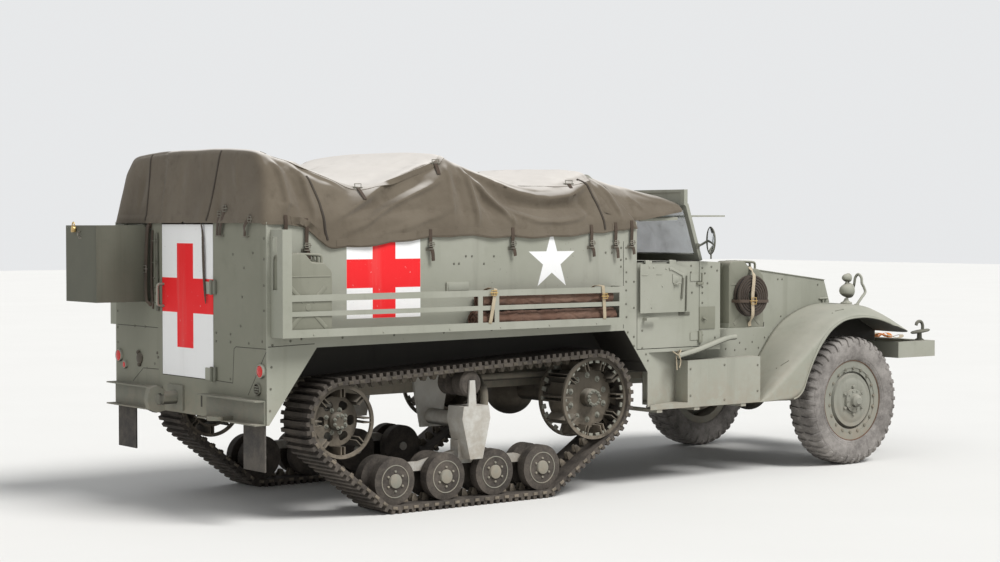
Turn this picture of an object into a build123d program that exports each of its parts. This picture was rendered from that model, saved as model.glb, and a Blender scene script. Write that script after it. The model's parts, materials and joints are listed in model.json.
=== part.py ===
from build123d import *
import math
import os

# An armoured half-track ambulance. Sizes are in millimetres. While it is modelled, X runs forward from
# the front axle, Y to the left and Z up from the ground. write() moves it to the middle of its length.

# Overall sizes
FRONT_REACH = 990.0      # front axle to the bumper's front face
RACK_HALF = 1116.0       # centre line to a side rack's outer face
HULL_HALF = 980.0        # centre line to the armour's outer face
HULL_REAR = -5124.0
BOX_DEPTH = 381.0        # the stowage box behind the rear armour
REAR_REACH = BOX_DEPTH - HULL_REAR
HULL_TOP = 1822.0
HULL_BOTTOM = 612.0
ARMOUR = 6.35
GAP = 5.0                # running gap round doors and lids
SEAT = 0.3               # gap between curved or soft pieces that rest on each other

# Front axle
AXLE_Z = 480.0
WHEEL_Y = 819.0          # centre line to a front tyre's middle
TYRE_R = AXLE_Z
TYRE_HALF = 117.5
BEAD_R = 254.0
RIM_R = 300.0
RIM_HALF = 90.0
BEAD_HALF = 86.2        # half width of the tyre between the rim's edges
KINGPIN_Y = 672.0
BOSS_HALF = 64.0         # half height of the axle's end between the knuckle's ears
HUB_END = 985.0

# Band tracks: (x, z, radius) of what the band runs round
TRACK_Y = 810.5          # centre line to the band's middle
TRACK_HALF = 152.5
BAND = 26.0              # thickness of the band without its lugs
LUG = 24.0
LUG_PITCH = 51.0
BOGIE_X = -3580.0
BOGIE_PITCH = 392.0
BOGIE_WHEEL_R = 150.0
GROUND_WHEEL_Z = BOGIE_WHEEL_R + BAND + LUG + SEAT
SPROCKET = (-2549.0, 636.0, 277.0)
IDLER = (-4563.0, 597.0, 226.0)
RETURN_ROLLER = (-3587.0, 785.0, 84.0)

# Chassis
RAIL_Y = 432.0
RAIL_FLANGE = 76.0
RAIL_LOW, RAIL_HIGH = 700.0, 850.0
RAIL_WALL = 8.0
BUMPER_REAR = 568.0
RAIL_REAR = HULL_REAR + ARMOUR + 1.0
FLOOR_Z = 866.0
FLOOR_T = 6.0

# Cab and cowl
DOOR_REAR, DOOR_FRONT = -2210.0, -1628.0
DOOR_LOW, DOOR_HIGH = 950.0, 1548.0
COWL_X = -1430.0         # where the side armour turns in
FIREWALL_X = -1300.0
HOOD_REAR_HALF = 700.0
HOOD_FRONT_X = 200.0
HOOD_FRONT_HALF = 430.0
HOOD_REAR_Z, HOOD_FRONT_Z = 1530.0, 1370.0
HOOD_T = 5.0
HOOD_CROWN = 25.0
HOOD_PIN_R = 4.0         # hinge tube on the hood's centre line
SCREEN_FOOT = (-1581.0, 1551.0)
SCREEN_HEAD = (-1716.0, 1945.0)
SCREEN_HALF = 945.0

# Rear door
REAR_DOOR_RIGHT, REAR_DOOR_LEFT = -343.0, 326.0
REAR_DOOR_LOW, REAR_DOOR_HIGH = 842.0, 1808.0

# Side racks
RACK_REAR, RACK_FRONT = -5095.0, -2436.0
RACK_LOW, RACK_TRAY_HIGH = 1136.0, 1184.0
RACK_POST_HIGH, RACK_FRONT_HIGH = 1778.0, 1393.0

SHIFT = Pos((REAR_REACH - FRONT_REACH) / 2, 0, 0)


# Helpers

def block(x0, x1, y0, y1, z0, z1):
    """A rectangular block between two corners."""
    size = (abs(x1 - x0), abs(y1 - y0), abs(z1 - z0))
    return Pos((x0 + x1) / 2, (y0 + y1) / 2, (z0 + z1) / 2) * Box(*size)


def side_plate(points, y_low, y_high):
    """A plate whose outline (x, z) is seen from the side, between two y values."""
    outline = Plane.XZ.offset(-y_high) * make_face(Polyline(*points, close=True))
    return extrude(outline, y_high - y_low)


def level_plate(points, z_low, z_high):
    """A plate whose outline (x, y) is seen from above, between two heights."""
    outline = Plane.XY.offset(z_low) * make_face(Polyline(*points, close=True))
    return extrude(outline, z_high - z_low)


def sheet(points, thickness, direction):
    """A plate through three or four points of one plane, thickened along a direction."""
    return extrude(make_face(Polyline(*points, close=True)), thickness, dir=direction)


def rod(start, end, radius):
    """A round bar from one point to another."""
    run = Vector(*end) - Vector(*start)
    return extrude(Plane(origin=start, z_dir=run) * Circle(radius), run.length)


def bent_rod(points, bend, radius):
    """A round bar along straight runs joined by bends of one radius."""
    path = FilletPolyline(*points, radius=bend)
    return sweep(Plane(origin=path @ 0, z_dir=path % 0) * Circle(radius), path=path)


def turned(profile, x, y, z):
    """A piece turned about a crosswise axis; profile is (radius, distance outboard of y), right side."""
    face = make_face(Polyline(*[(radius, -out) for radius, out in profile], close=True))
    return Pos(x, y, z) * revolve(face, Axis.Y)


def disc(x, y_low, y_high, z, radius):
    """A round disc or shaft on a crosswise axis."""
    return turned([(0, 0), (radius, 0), (radius, y_high - y_low), (0, y_high - y_low)], x, y_high, z)


def left(part):
    """The same piece on the other side of the vehicle."""
    return mirror(part, about=Plane.XZ)


def write(name, *solids):
    """One STEP file for one named piece."""
    piece = Compound(children=[s for solid in solids for s in (SHIFT * solid).solids()])
    piece.label = name
    export_step(piece, f"parts/{name}.step")


def write_pair(name, *solids):
    """The right-hand piece and its mirror image."""
    write(f"{name}_right", *solids)
    write(f"{name}_left", *[left(solid) for solid in solids])


# Front wheels, tyres, axle and steering

def tyre():
    half = [(BEAD_R + SEAT, BEAD_HALF), (RIM_R + SEAT, BEAD_HALF), (RIM_R + 6, 100), (340, 112),
            (395, TYRE_HALF), (448, 112), (471, 98)]
    crown = [(TYRE_R, 78), (TYRE_R, -78)]
    profile = half + crown + [(radius, -out) for radius, out in reversed(half)]
    return turned(profile, 0, -WHEEL_Y, AXLE_Z)


def wheel():
    """Rim with raised edges, a dished disc with hand holes, brake drum and driving hub."""
    rim = turned([(BEAD_R - 8, -RIM_HALF), (RIM_R, -RIM_HALF), (RIM_R, -RIM_HALF + 3.5), (BEAD_R, -RIM_HALF + 3.5),
                  (BEAD_R, RIM_HALF - 3.5), (RIM_R, RIM_HALF - 3.5), (RIM_R, RIM_HALF), (BEAD_R - 8, RIM_HALF)],
                 0, -WHEEL_Y, AXLE_Z)
    disc_wall = turned([(0, 50), (120, 50), (150, 92), (196, 92), (212, 60), (BEAD_R - 7, 60),
                        (BEAD_R - 7, 50), (204, 50), (190, 80), (158, 80), (130, 38), (0, 38)],
                       0, -WHEEL_Y, AXLE_Z)
    hand_holes = [Pos(0, -WHEEL_Y - 55, AXLE_Z) * Rot(0, 45 * i, 0) * Pos(230, 0, 0) * Box(22, 40, 60)
                  for i in range(8)]
    disc_wall -= hand_holes
    hub = turned([(0, 40), (132, 40), (132, 62), (92, 70), (86, 118), (52, 124), (46, 150),
                  (24, HUB_END - WHEEL_Y), (0, HUB_END - WHEEL_Y)], 0, -WHEEL_Y, AXLE_Z)
    studs = [Pos(0, 0, AXLE_Z) * Rot(0, 60 * i + 30, 0) * Pos(105, 0, 0) * disc(0, -WHEEL_Y - 92, -WHEEL_Y - 55, 0, 13)
             for i in range(6)]
    drum = turned([(30, -62), (196, -62), (200, -40), (200, 30), (125, 40), (30, 40)], 0, -WHEEL_Y, AXLE_Z)
    return rim + disc_wall + hub + studs + drum


def knuckle():
    """Steering knuckle: an ear over and under the axle's end, backing plate, spindle and steering arm."""
    plate_y = -WHEEL_Y + 70
    plate = disc(0, plate_y, plate_y + 8, AXLE_Z, 190)
    spindle = disc(0, plate_y - 7.5, plate_y + 1, AXLE_Z, 62)
    ears = []
    for low in (AXLE_Z + BOSS_HALF + SEAT, AXLE_Z - BOSS_HALF - SEAT - 34):
        ears.append(Pos(0, -KINGPIN_Y, low + 17) * Cylinder(34, 34))
        ears.append(block(-30, 30, plate_y + 1, -KINGPIN_Y, low, low + 34))
    arm = block(-170, -20, -KINGPIN_Y - 22, -KINGPIN_Y + 6, AXLE_Z - BOSS_HALF - 34, AXLE_Z - BOSS_HALF - 12)
    return Part() + plate + spindle + ears + arm


def front_axle():
    """Driven axle tube with its differential, kingpin bosses, leaf springs and shackles."""
    tube = rod((0, -KINGPIN_Y + 20, AXLE_Z), (0, KINGPIN_Y - 20, AXLE_Z), 45)
    casing = Pos(0, 190, AXLE_Z) * Sphere(150)
    nose = rod((0, 190, AXLE_Z), (-260, 190, AXLE_Z + 30), 55)
    bosses = [Pos(0, s * KINGPIN_Y, AXLE_Z) * Cylinder(40, 2 * BOSS_HALF) for s in (-1, 1)]
    springs = []
    for s in (-1, 1):
        for low, reach in ((60, 180), (72, 300), (84, 430), (96, 560)):
            springs.append(block(-reach, reach, s * 360, s * 424, AXLE_Z + low, AXLE_Z + low + 12))
        springs.append(block(-60, 60, s * 352, s * 430, AXLE_Z - 20, AXLE_Z + 60))
        for end in (-545, 545):
            springs.append(block(end - 18, end + 18, s * 366, s * 418, AXLE_Z + 108, RAIL_LOW))
    return tube + casing + nose + bosses + springs


# Track running gear

def drive_axle():
    x, z, _ = SPROCKET
    tube = rod((x, -TRACK_Y + 118, z), (x, TRACK_Y - 118, z), 58)
    casing = Pos(x, 0, z) * Sphere(175)
    nose = rod((x, 0, z), (x + 250, 0, z + 20), 60)
    hangers = [block(x - 60, x + 60, s * 360, s * 426, z + 40, RAIL_LOW) for s in (-1, 1)]
    return tube + casing + nose + hangers


def spoked_wheel(centre, ring_width, dish, hub_r, pairs, hub_out):
    """Twin rings on a dished centre with ribs in pairs: the shape shared by sprocket and idler."""
    x, z, radius = centre
    outer = TRACK_HALF - 20
    rings = [turned([(radius - 22, out - ring_width), (radius, out - ring_width), (radius, out),
                     (radius - 22, out)], x, -TRACK_Y, z) for out in (outer, -outer + ring_width)]
    barrel = turned([(dish - 14, -outer + 4), (dish, -outer + 4), (dish, 46), (dish - 14, 46)], x, -TRACK_Y, z)
    plate = turned([(hub_r - 6, 34), (radius - 70, 34), (radius - 70, 48), (hub_r - 6, 48)], x, -TRACK_Y, z)
    hub = turned([(0, -110), (hub_r, -110), (hub_r, hub_out - 22), (hub_r - 14, hub_out), (0, hub_out)],
                 x, -TRACK_Y, z)
    ribs = []
    for i in range(pairs):
        for low in (-17, 10):
            rib = block(dish - 6, radius - 14, -TRACK_Y - outer + 2, -TRACK_Y + outer - 4, low, low + 7)
            ribs.append(Pos(x, 0, z) * Rot(0, 360 / pairs * i, 0) * rib)
    return Part() + rings + barrel + plate + hub + ribs


def sprocket():
    return spoked_wheel(SPROCKET, 20, 196, 62, 10, 122)


def idler():
    x, z, _ = IDLER
    holes = [Pos(x, -TRACK_Y - 40, z) * Rot(0, 60 * i, 0) * Pos(108, 0, 0) * Box(50, 40, 66) for i in range(6)]
    holes = [fillet(hole.edges().filter_by(Axis.Y), 22) for hole in holes]
    return spoked_wheel(IDLER, 18, 158, 58, 8, 96) - holes


def idler_bracket():
    x, z, _ = IDLER
    stub = disc(x, -TRACK_Y + 110.5, -RAIL_Y, z, 42)
    arm = side_plate([(x - 70, z - 60), (x + 70, z - 60), (x + 130, RAIL_HIGH - 20), (x - 130, RAIL_HIGH - 20)],
                     -RAIL_Y - 26, -RAIL_Y)
    return stub + arm


BOGIE_AXLES = [BOGIE_X + BOGIE_PITCH * k for k in (-1.5, -0.5, 0.5, 1.5)]
HOUSING_X = -3556.0


def bogie():
    """Spring housing on its cross tube, rocker arms, wheel axles and the return roller's bracket."""
    housing = side_plate([(HOUSING_X - 112, 560), (HOUSING_X - 100, 641), (HOUSING_X + 100, 641),
                          (HOUSING_X + 112, 560), (HOUSING_X + 50, 300), (HOUSING_X - 50, 300)],
                         -TRACK_Y - 147.5, -TRACK_Y + 20.5)
    tube = disc(HOUSING_X, -TRACK_Y + 18.5, -RAIL_Y, 540, 52)
    hanger = side_plate([(HOUSING_X - 150, RAIL_HIGH - 20), (HOUSING_X + 150, RAIL_HIGH - 20),
                         (HOUSING_X + 80, 470), (HOUSING_X - 80, 470)], -RAIL_Y - 24, -RAIL_Y)
    z = GROUND_WHEEL_Z
    beam = side_plate([(BOGIE_X - 340, z + 92), (BOGIE_X - 60, z + 150), (BOGIE_X + 60, z + 150),
                       (BOGIE_X + 340, z + 92), (BOGIE_X + 340, z + 62), (BOGIE_X - 340, z + 62)],
                      -TRACK_Y - 24, -TRACK_Y + 24)
    beam += block(BOGIE_X - 60, BOGIE_X + 60, -TRACK_Y - 60, -TRACK_Y + 24, z + 90, 420)
    arms = []
    for pair in (-1, 1):
        mid = BOGIE_X + pair * BOGIE_PITCH
        arms.append(side_plate([(mid - 196, z - 32), (mid - 196, z + 32), (mid - 60, z + 96), (mid + 60, z + 96),
                                (mid + 196, z + 32), (mid + 196, z - 32), (mid + 60, z + 40), (mid - 60, z + 40)],
                               -TRACK_Y - 24, -TRACK_Y + 24))
    axles = [disc(x, -TRACK_Y - 128, -TRACK_Y + 128, z, 30) for x in BOGIE_AXLES]
    rx, rz, rr = RETURN_ROLLER
    fork = side_plate([(rx - 32, 640), (rx + 32, 640), (rx + 20, rz + 22), (rx - 20, rz + 22)],
                      -TRACK_Y - 147.5, -TRACK_Y - 133.5)
    spindle = disc(rx, -TRACK_Y - 147.5, -TRACK_Y + 140, rz, 18)
    return Part() + housing + tube + hanger + beam + arms + axles + fork + spindle


def bogie_wheels():
    """Rubber-tyred wheels, two on each axle, and the return roller."""
    z = GROUND_WHEEL_Z
    wheels = []
    for x in BOGIE_AXLES:
        for inner_out in (-118, 38):
            profile = [(30 + SEAT, inner_out), (BOGIE_WHEEL_R - 42, inner_out), (BOGIE_WHEEL_R, inner_out + 6),
                       (BOGIE_WHEEL_R, inner_out + 74), (BOGIE_WHEEL_R - 42, inner_out + 80),
                       (30 + SEAT, inner_out + 80)]
            wheels.append(turned(profile, x, -TRACK_Y, z))
    rx, rz, rr = RETURN_ROLLER
    roller = turned([(18 + SEAT, -120), (rr, -120), (rr, -34), (rr - 54, -34), (rr - 54, 34), (rr, 34),
                     (rr, 120), (rr - 14, 130), (18 + SEAT, 130)], rx, -TRACK_Y, rz)
    return wheels + [roller]


def belt_line(circles, offset, step):
    """Corners of a belt drawn round the circles at an offset, about one step apart on the bends."""
    count = len(circles)
    angles = []
    for i in range(count):
        x1, z1, r1 = circles[i]
        x2, z2, r2 = circles[(i + 1) % count]
        heading = math.atan2(z2 - z1, x2 - x1)
        angles.append(heading - math.acos((r1 - r2) / math.hypot(x2 - x1, z2 - z1)))
    points = []
    for i in range(count):
        x, z, radius = circles[i]
        start, end = angles[i - 1], angles[i]
        while end < start:
            end += 2 * math.pi
        parts = max(1, math.ceil((end - start) * (radius + offset) / step))
        reach = (radius + offset) / math.cos((end - start) / parts / 2)
        for k in range(parts):
            angle = start + (end - start) * (k + 0.5) / parts
            points.append((x + reach * math.cos(angle), z + reach * math.sin(angle)))
    return points


def walk(points, distance):
    """The point and the outward normal at a distance along a closed line."""
    count = len(points)
    for i in range(count):
        (x1, z1), (x2, z2) = points[i], points[(i + 1) % count]
        run = math.hypot(x2 - x1, z2 - z1)
        if distance <= run or i == count - 1:
            tx, tz = (x2 - x1) / run, (z2 - z1) / run
            return (x1 + tx * distance, z1 + tz * distance), (tz, -tx)
        distance -= run
    return points[0], (0, -1)


def track():
    """The band as one loop, its cross lugs standing out of its outline."""
    rear_x, front_x = BOGIE_AXLES[0], BOGIE_AXLES[-1]
    circles = [(rear_x, GROUND_WHEEL_Z, BOGIE_WHEEL_R), (front_x, GROUND_WHEEL_Z, BOGIE_WHEEL_R),
               SPROCKET, RETURN_ROLLER, IDLER]
    inner = belt_line(circles, SEAT, 90)
    outer = belt_line(circles, SEAT + BAND, 30)
    length = sum(math.dist(outer[i], outer[(i + 1) % len(outer)]) for i in range(len(outer)))
    count = round(length / LUG_PITCH)
    pitch = length / count
    outline = []
    for i in range(count):
        for share, height in ((0.0, 0), (0.06, LUG), (0.50, LUG), (0.56, 0)):
            (x, z), (nx, nz) = walk(outer, (i + share) * pitch)
            outline.append((x + nx * height, z + nz * height))
    band = side_plate(outline, -TRACK_Y - TRACK_HALF, -TRACK_Y + TRACK_HALF)
    band -= side_plate(inner, -TRACK_Y - TRACK_HALF - 1, -TRACK_Y + TRACK_HALF + 1)
    return band


# Chassis frame, engine and what hangs from them

def chassis_frame():
    """Two channel rails, the members between their webs, and the exhaust pipe on its clip."""
    pieces = []
    for s in (-1, 1):
        web = [s * RAIL_Y, s * (RAIL_Y - RAIL_WALL)]
        flange = [s * RAIL_Y, s * (RAIL_Y - RAIL_FLANGE)]
        rail = block(RAIL_REAR, BUMPER_REAR, web[0], web[1], RAIL_LOW, RAIL_HIGH)
        rail += block(RAIL_REAR, BUMPER_REAR, flange[0], flange[1], RAIL_LOW, RAIL_LOW + RAIL_WALL)
        rail += block(RAIL_REAR, BUMPER_REAR, flange[0], flange[1], RAIL_HIGH - RAIL_WALL, RAIL_HIGH)
        pieces.append(rail)
    inner = RAIL_Y - RAIL_WALL
    member_x = (BUMPER_REAR - 68, -1180, -1500, -2250, -3100, HOUSING_X, -4200, IDLER[0], RAIL_REAR + 116)
    pieces += [block(x - 35, x + 35, -inner, inner, RAIL_LOW + 20, RAIL_HIGH - RAIL_WALL - 2) for x in member_x]
    pipe_y, pipe_z, pipe_r = -520, 780, 26
    pipe = bent_rod([(-1750, pipe_y, pipe_z), (-3220, pipe_y, pipe_z), (-3375, -800, 720), (-3375, -800, 565)],
                    60, pipe_r)
    clip = block(-3020, -2980, pipe_y - 20, -RAIL_Y, pipe_z - 14, pipe_z + 14)
    return [*pieces, pipe + clip]


def engine_block():
    """The engine as one plain mass, its four feet on the frame rails."""
    mass = block(-1080, -80, -240, 240, 640, 1240)
    feet = [block(x - 35, x + 35, s * 230, s * (RAIL_Y - 20), RAIL_HIGH + SEAT, RAIL_HIGH + 26)
            for x in (-960, -200) for s in (-1, 1)]
    return Part() + mass + feet


def front_bumper():
    """A deep box tray of plates, wide as the fenders, with a stowed tow hook on the right."""
    half, low, high, wall = 865.0, 772.0, 894.0, 8.0
    rear = BUMPER_REAR
    tray = block(rear, FRONT_REACH, -half, half, low, high)
    tray -= block(rear + wall, FRONT_REACH - wall, -half + wall, half - wall, low + wall, high + 1)
    tray -= [block(rear + 60, FRONT_REACH - 60, s * 500, s * 780, low - 1, high) for s in (-1, 1)]
    top_legs = [block(rear, FRONT_REACH, s * half, s * (half - 50), high - wall, high) for s in (-1, 1)]
    top_legs += [block(x, x + 50, -half, half, high - wall, high) for x in (rear, FRONT_REACH - 50)]
    return Part() + tray + top_legs


def tow_hook():
    """A flat plate with a curled hook that stands on the bumper's right end."""
    plate = Pos(860, -740, 894 + SEAT + 9) * Cylinder(96, 18)
    curl = bent_rod([(880, -760, 905), (880, -760, 1046), (820, -760, 1046), (820, -760, 1000)], 26, 15)
    return plate + curl


def winch():
    """Winch behind the bumper: drum between two cheeks, gear case on the left."""
    axis_x, axis_z = 778.0, 880.0
    drum = disc(axis_x, -215, 215, axis_z, 62)
    cheeks = [disc(axis_x, y - 8, y + 8, axis_z, 96) for y in (-215, 215)]
    case = block(axis_x - 110, axis_x + 110, 224, 330, 780 + SEAT, axis_z + 105)
    foot = block(axis_x - 90, axis_x + 90, -330, -224, 780 + SEAT, axis_z + 70)
    shaft = disc(axis_x, -240, 240, axis_z, 28)
    return Part() + drum + cheeks + case + foot + shaft


# Hull plates

ARCH = [(-5110.0, HULL_BOTTOM), (-4774.0, 1065.0), (-2319.0, 1086.0), (-2110.0, 795.0), (-2088.0, 553.0)]


def hull_side():
    """Side armour with the track arch, the cab doorway and the sloped lower cab plate."""
    outline = [(HULL_REAR, HULL_BOTTOM)] + ARCH[:4]
    outline += [(-2098.0, DOOR_LOW - GAP - 12), (COWL_X, DOOR_LOW - GAP - 12), (COWL_X, 1538), (DOOR_FRONT, DOOR_HIGH),
                (DOOR_FRONT, DOOR_LOW), (DOOR_REAR, DOOR_LOW), (DOOR_REAR, HULL_TOP), (HULL_REAR, HULL_TOP)]
    plate = side_plate(outline, -HULL_HALF, -HULL_HALF + ARMOUR)
    sill = level_plate([(-2098, -HULL_HALF), (COWL_X, -HULL_HALF), (FIREWALL_X, -HOOD_REAR_HALF),
                        (-2098, -HULL_HALF + 12)], DOOR_LOW - GAP - 18, DOOR_LOW - GAP - 12)
    lower = level_plate([(-2110, -HULL_HALF), (FIREWALL_X, -HOOD_REAR_HALF), (FIREWALL_X, -HOOD_REAR_HALF + ARMOUR),
                         (-2110, -HULL_HALF + ARMOUR)], 553, DOOR_LOW - GAP - 12)
    return plate + sill + lower


def hull_rear():
    """Rear armour plate with the doorway, hinge knuckles and the frame round it."""
    x0, x1 = HULL_REAR, HULL_REAR + ARMOUR
    inner = HULL_HALF - ARMOUR - 0.05
    plate = block(x0, x1, -inner, inner, HULL_BOTTOM, HULL_TOP)
    plate -= block(x0 - 1, x1 + 1, REAR_DOOR_RIGHT, REAR_DOOR_LEFT, REAR_DOOR_LOW, HULL_TOP + 1)
    return plate


def hull_floor():
    """Floor plate, and the arch liners over the tracks with their inner walls."""
    rear_x = HULL_REAR + ARMOUR + 0.1
    arch_rear = ARCH[0][0] + (FLOOR_Z - ARCH[0][1]) / (ARCH[1][1] - ARCH[0][1]) * (ARCH[1][0] - ARCH[0][0])
    arch_front = ARCH[3][0] - (FLOOR_Z - ARCH[3][1]) / (ARCH[2][1] - ARCH[3][1]) * (ARCH[3][0] - ARCH[2][0])
    wide, narrow = HULL_HALF - ARMOUR - 0.1, HULL_HALF - 368
    half = [(rear_x, wide), (arch_rear, wide), (arch_rear, narrow), (arch_front, narrow), (arch_front, wide),
            (-2115, wide), (FIREWALL_X - 7, HOOD_REAR_HALF - 10)]
    outline = half + [(x, -y) for x, y in reversed(half)]
    floor = level_plate(outline, FLOOR_Z - FLOOR_T, FLOOR_Z)
    solids = [floor]
    roof = [(x, z) for x, z in ARCH[:4]]
    inside = [(ARCH[3][0], ARCH[3][1] + 9), (ARCH[2][0] + 3, ARCH[2][1] + 6), (ARCH[1][0] - 3, ARCH[1][1] + 6),
              (ARCH[0][0] - 7, ARCH[0][1] + 2)]
    wall = [(arch_rear, FLOOR_Z - FLOOR_T), (ARCH[1][0], ARCH[1][1] + 3), (ARCH[2][0], ARCH[2][1] + 3),
            (arch_front, FLOOR_Z - FLOOR_T)]
    for s in (-1, 1):
        low, high = sorted((s * wide, s * (narrow - 6)))
        liner = side_plate(roof + inside, low, high) - floor
        low, high = sorted((s * narrow, s * (narrow - 6)))
        upright = side_plate(wall, low, high) - floor - liner
        for x0, x1 in ((-5200, ARCH[1][0]), (ARCH[1][0], ARCH[2][0]), (ARCH[2][0], -2000)):
            solids += (Part() + (liner & block(x0, x1, -1000, 1000, 500, 1200))).solids()
        solids += (Part() + upright).solids()
    return solids


def hood_height(x, y):
    """Height of the hood top's underside, which falls forward and outward."""
    fall = HOOD_CROWN / HOOD_REAR_HALF
    rear, front = HOOD_REAR_Z + HOOD_CROWN, HOOD_FRONT_Z + fall * HOOD_FRONT_HALF
    return rear + (front - rear) * (x - FIREWALL_X) / (HOOD_FRONT_X - FIREWALL_X) - fall * abs(y) + 0.4


CAN_X0, CAN_X1 = -1362.0, -1017.0      # the front fuel can, its foot and its sides
CAN_Z = 1071.0
CAN_OUT, CAN_IN = -HULL_HALF - 20.0, -HULL_HALF + 130.0


def cowl():
    """Slanted cowl cheeks, firewall, the shelf in front of the windscreen and the instrument board."""
    cheeks = []
    for s in (-1, 1):
        outline = [(COWL_X, s * HULL_HALF), (FIREWALL_X, s * HOOD_REAR_HALF), (FIREWALL_X, s * (HOOD_REAR_HALF - 14)),
                   (COWL_X, s * (HULL_HALF - 14))]
        cheeks.append(level_plate(outline, DOOR_LOW - GAP - 11.9, 1532))
    firewall = block(FIREWALL_X - 6, FIREWALL_X, -HOOD_REAR_HALF + 7.5, HOOD_REAR_HALF - 7.5, FLOOR_Z + 0.1, 1530)
    top = level_plate([(SCREEN_FOOT[0] + 14, -HULL_HALF + ARMOUR + 0.1), (COWL_X, -HULL_HALF + ARMOUR + 0.1),
                       (FIREWALL_X, -HOOD_REAR_HALF + 6), (FIREWALL_X, HOOD_REAR_HALF - 6),
                       (COWL_X, HULL_HALF - ARMOUR - 0.1), (SCREEN_FOOT[0] + 14, HULL_HALF - ARMOUR - 0.1)],
                      1530, 1536)
    board = side_plate([(-1535, 1530), (-1500, 1530), (-1460, 1290), (-1495, 1290)], -920, 920)
    shelf = [(CAN_X1 + 3, CAN_OUT - 3), (CAN_X1 + 3, CAN_IN + 4), (-1200, CAN_IN + 4),
             (FIREWALL_X - 4, -HOOD_REAR_HALF - 4), (COWL_X + 3, -HULL_HALF + 9), (CAN_X0 - 3, CAN_OUT - 3)]
    carrier = [level_plate(shelf, CAN_Z - 6, CAN_Z)]
    carrier.append(block(CAN_X0 - 3, CAN_X1 + 3, CAN_IN, CAN_IN + 4, CAN_Z - 1, CAN_Z + 210))
    carrier += [block(x, x + 4, CAN_OUT - 3, CAN_IN, CAN_Z - 1, CAN_Z + 34) for x in (CAN_X0 - 4.3, CAN_X1 + 0.3)]
    return Part() + cheeks + firewall + top + board + carrier


def engine_armour():
    """Hood sides and the louvred radiator front."""
    turn = math.atan2(HOOD_REAR_HALF - HOOD_FRONT_HALF, HOOD_FRONT_X - FIREWALL_X)
    scale = 1 / math.cos(turn)
    side = Plane(origin=(FIREWALL_X, -HOOD_REAR_HALF, 0), x_dir=(math.cos(turn), math.sin(turn), 0),
                 z_dir=(math.sin(turn), -math.cos(turn), 0))
    rear_x = FIREWALL_X + 1.6
    line = [(rear_x, 553), (-760, 553), (-671, 790), (-640, RAIL_HIGH + SEAT), (HOOD_FRONT_X, RAIL_HIGH + SEAT),
            (HOOD_FRONT_X, HOOD_FRONT_Z), (rear_x, HOOD_REAR_Z)]
    local = [((x - FIREWALL_X) * scale, z) for x, z in line]
    cheek = extrude(side * make_face(Polyline(*local, close=True)), -ARMOUR)
    front_half = HOOD_FRONT_HALF
    nose_x, nose_low = 260.0, RAIL_HIGH + SEAT
    nose = [block(100, nose_x, s * front_half, s * (front_half - ARMOUR), nose_low, 1160) for s in (-1, 1)]
    brow = sheet([(HOOD_FRONT_X, -front_half, HOOD_FRONT_Z), (HOOD_FRONT_X, front_half, HOOD_FRONT_Z),
                  (nose_x, front_half, 1203), (nose_x, -front_half, 1203)], 8, (-1, 0, -0.36))
    brow_cheeks = [sheet([(HOOD_FRONT_X - 2, s * front_half, HOOD_FRONT_Z - 6), (nose_x, s * front_half, 1203),
                          (nose_x, s * front_half, 1158), (HOOD_FRONT_X - 2, s * front_half, 1158)],
                         ARMOUR, (0, -s, 0)) for s in (-1, 1)]
    frame = block(nose_x - 22, nose_x, -front_half, front_half, nose_low, 1205)
    frame -= block(nose_x - 30, nose_x + 5, -front_half + 50, front_half - 50, nose_low + 30, 1170)
    slats = []
    for i in range(7):
        z = nose_low + 36 + 40 * i
        slats.append(side_plate([(nose_x - 22, z + 32), (nose_x - 18, z + 34), (nose_x, z), (nose_x - 4, z - 2)],
                                -front_half + 45, front_half - 45))
    ridge = side_plate([(rear_x, HOOD_REAR_Z - 40), (rear_x, hood_height(rear_x, 0) - SEAT),
                        (HOOD_FRONT_X, hood_height(HOOD_FRONT_X, 0) - SEAT), (HOOD_FRONT_X, HOOD_FRONT_Z - 40)],
                       -8, 8)
    pin_rear, pin_front = [(x, 0, hood_height(x, 0) + HOOD_T) for x in (rear_x + GAP, HOOD_FRONT_X)]
    ridge += rod(pin_rear, pin_front, HOOD_PIN_R)
    ridge += [block(x, x + 20, -3, 3, hood_height(x, 0) - 20, hood_height(x + 20, 0) + HOOD_T)
              for x in (rear_x + 40, -800, -300, HOOD_FRONT_X - 60)]
    return Part() + cheek + left(cheek) + nose + brow + brow_cheeks + frame + slats + ridge


def hood_top():
    """One half of the hood's top, hinged on the centre line."""
    rear, front, clear = FIREWALL_X + GAP + 1, HOOD_FRONT_X + 6, HOOD_PIN_R + GAP + 1
    plan = [(rear, -clear), (front, -clear), (front, -HOOD_FRONT_HALF - 6), (rear, -HOOD_REAR_HALF - 6)]
    return sheet([(x, y, hood_height(x, y)) for x, y in plan], HOOD_T, (0, 0, 1))


FENDER_TABLE = [
    # x and z at the outer edge, then amid, then inside the hood plane
    ((-1033, 530), (-960, 530), (-870, 530)),
    ((-720, 742), (-690, 800), (-672, 821)),
    ((-400, 974), (-470, 990), (-544, 982)),
    ((-270, 1072), (-330, 1088), (-416, 1061)),
    ((-140, 1118), (-160, 1160), (-230, 1130)),
    ((0, 1136), (20, 1192), (0, 1182)),
    ((150, 1124), (216, 1184), (230, 1196)),
    ((290, 1090), (338, 1148), (350, 1164)),
    ((395, 1052), (462, 1098), (480, 1112)),
    ((428, 1036), (587, 1040), (610, 1048)),
    ((440, 1028), (735, 968), (770, 965)),
]
FENDER_LIP = [(389, 1031), (266, 1070), (115, 1097), (-8, 1104), (-138, 1090), (-256, 1048), (-362, 975),
              (-435, 886), (-498, 787), (-550, 678), (-578, 608), (-622, 560), (-690, 528)]


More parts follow.
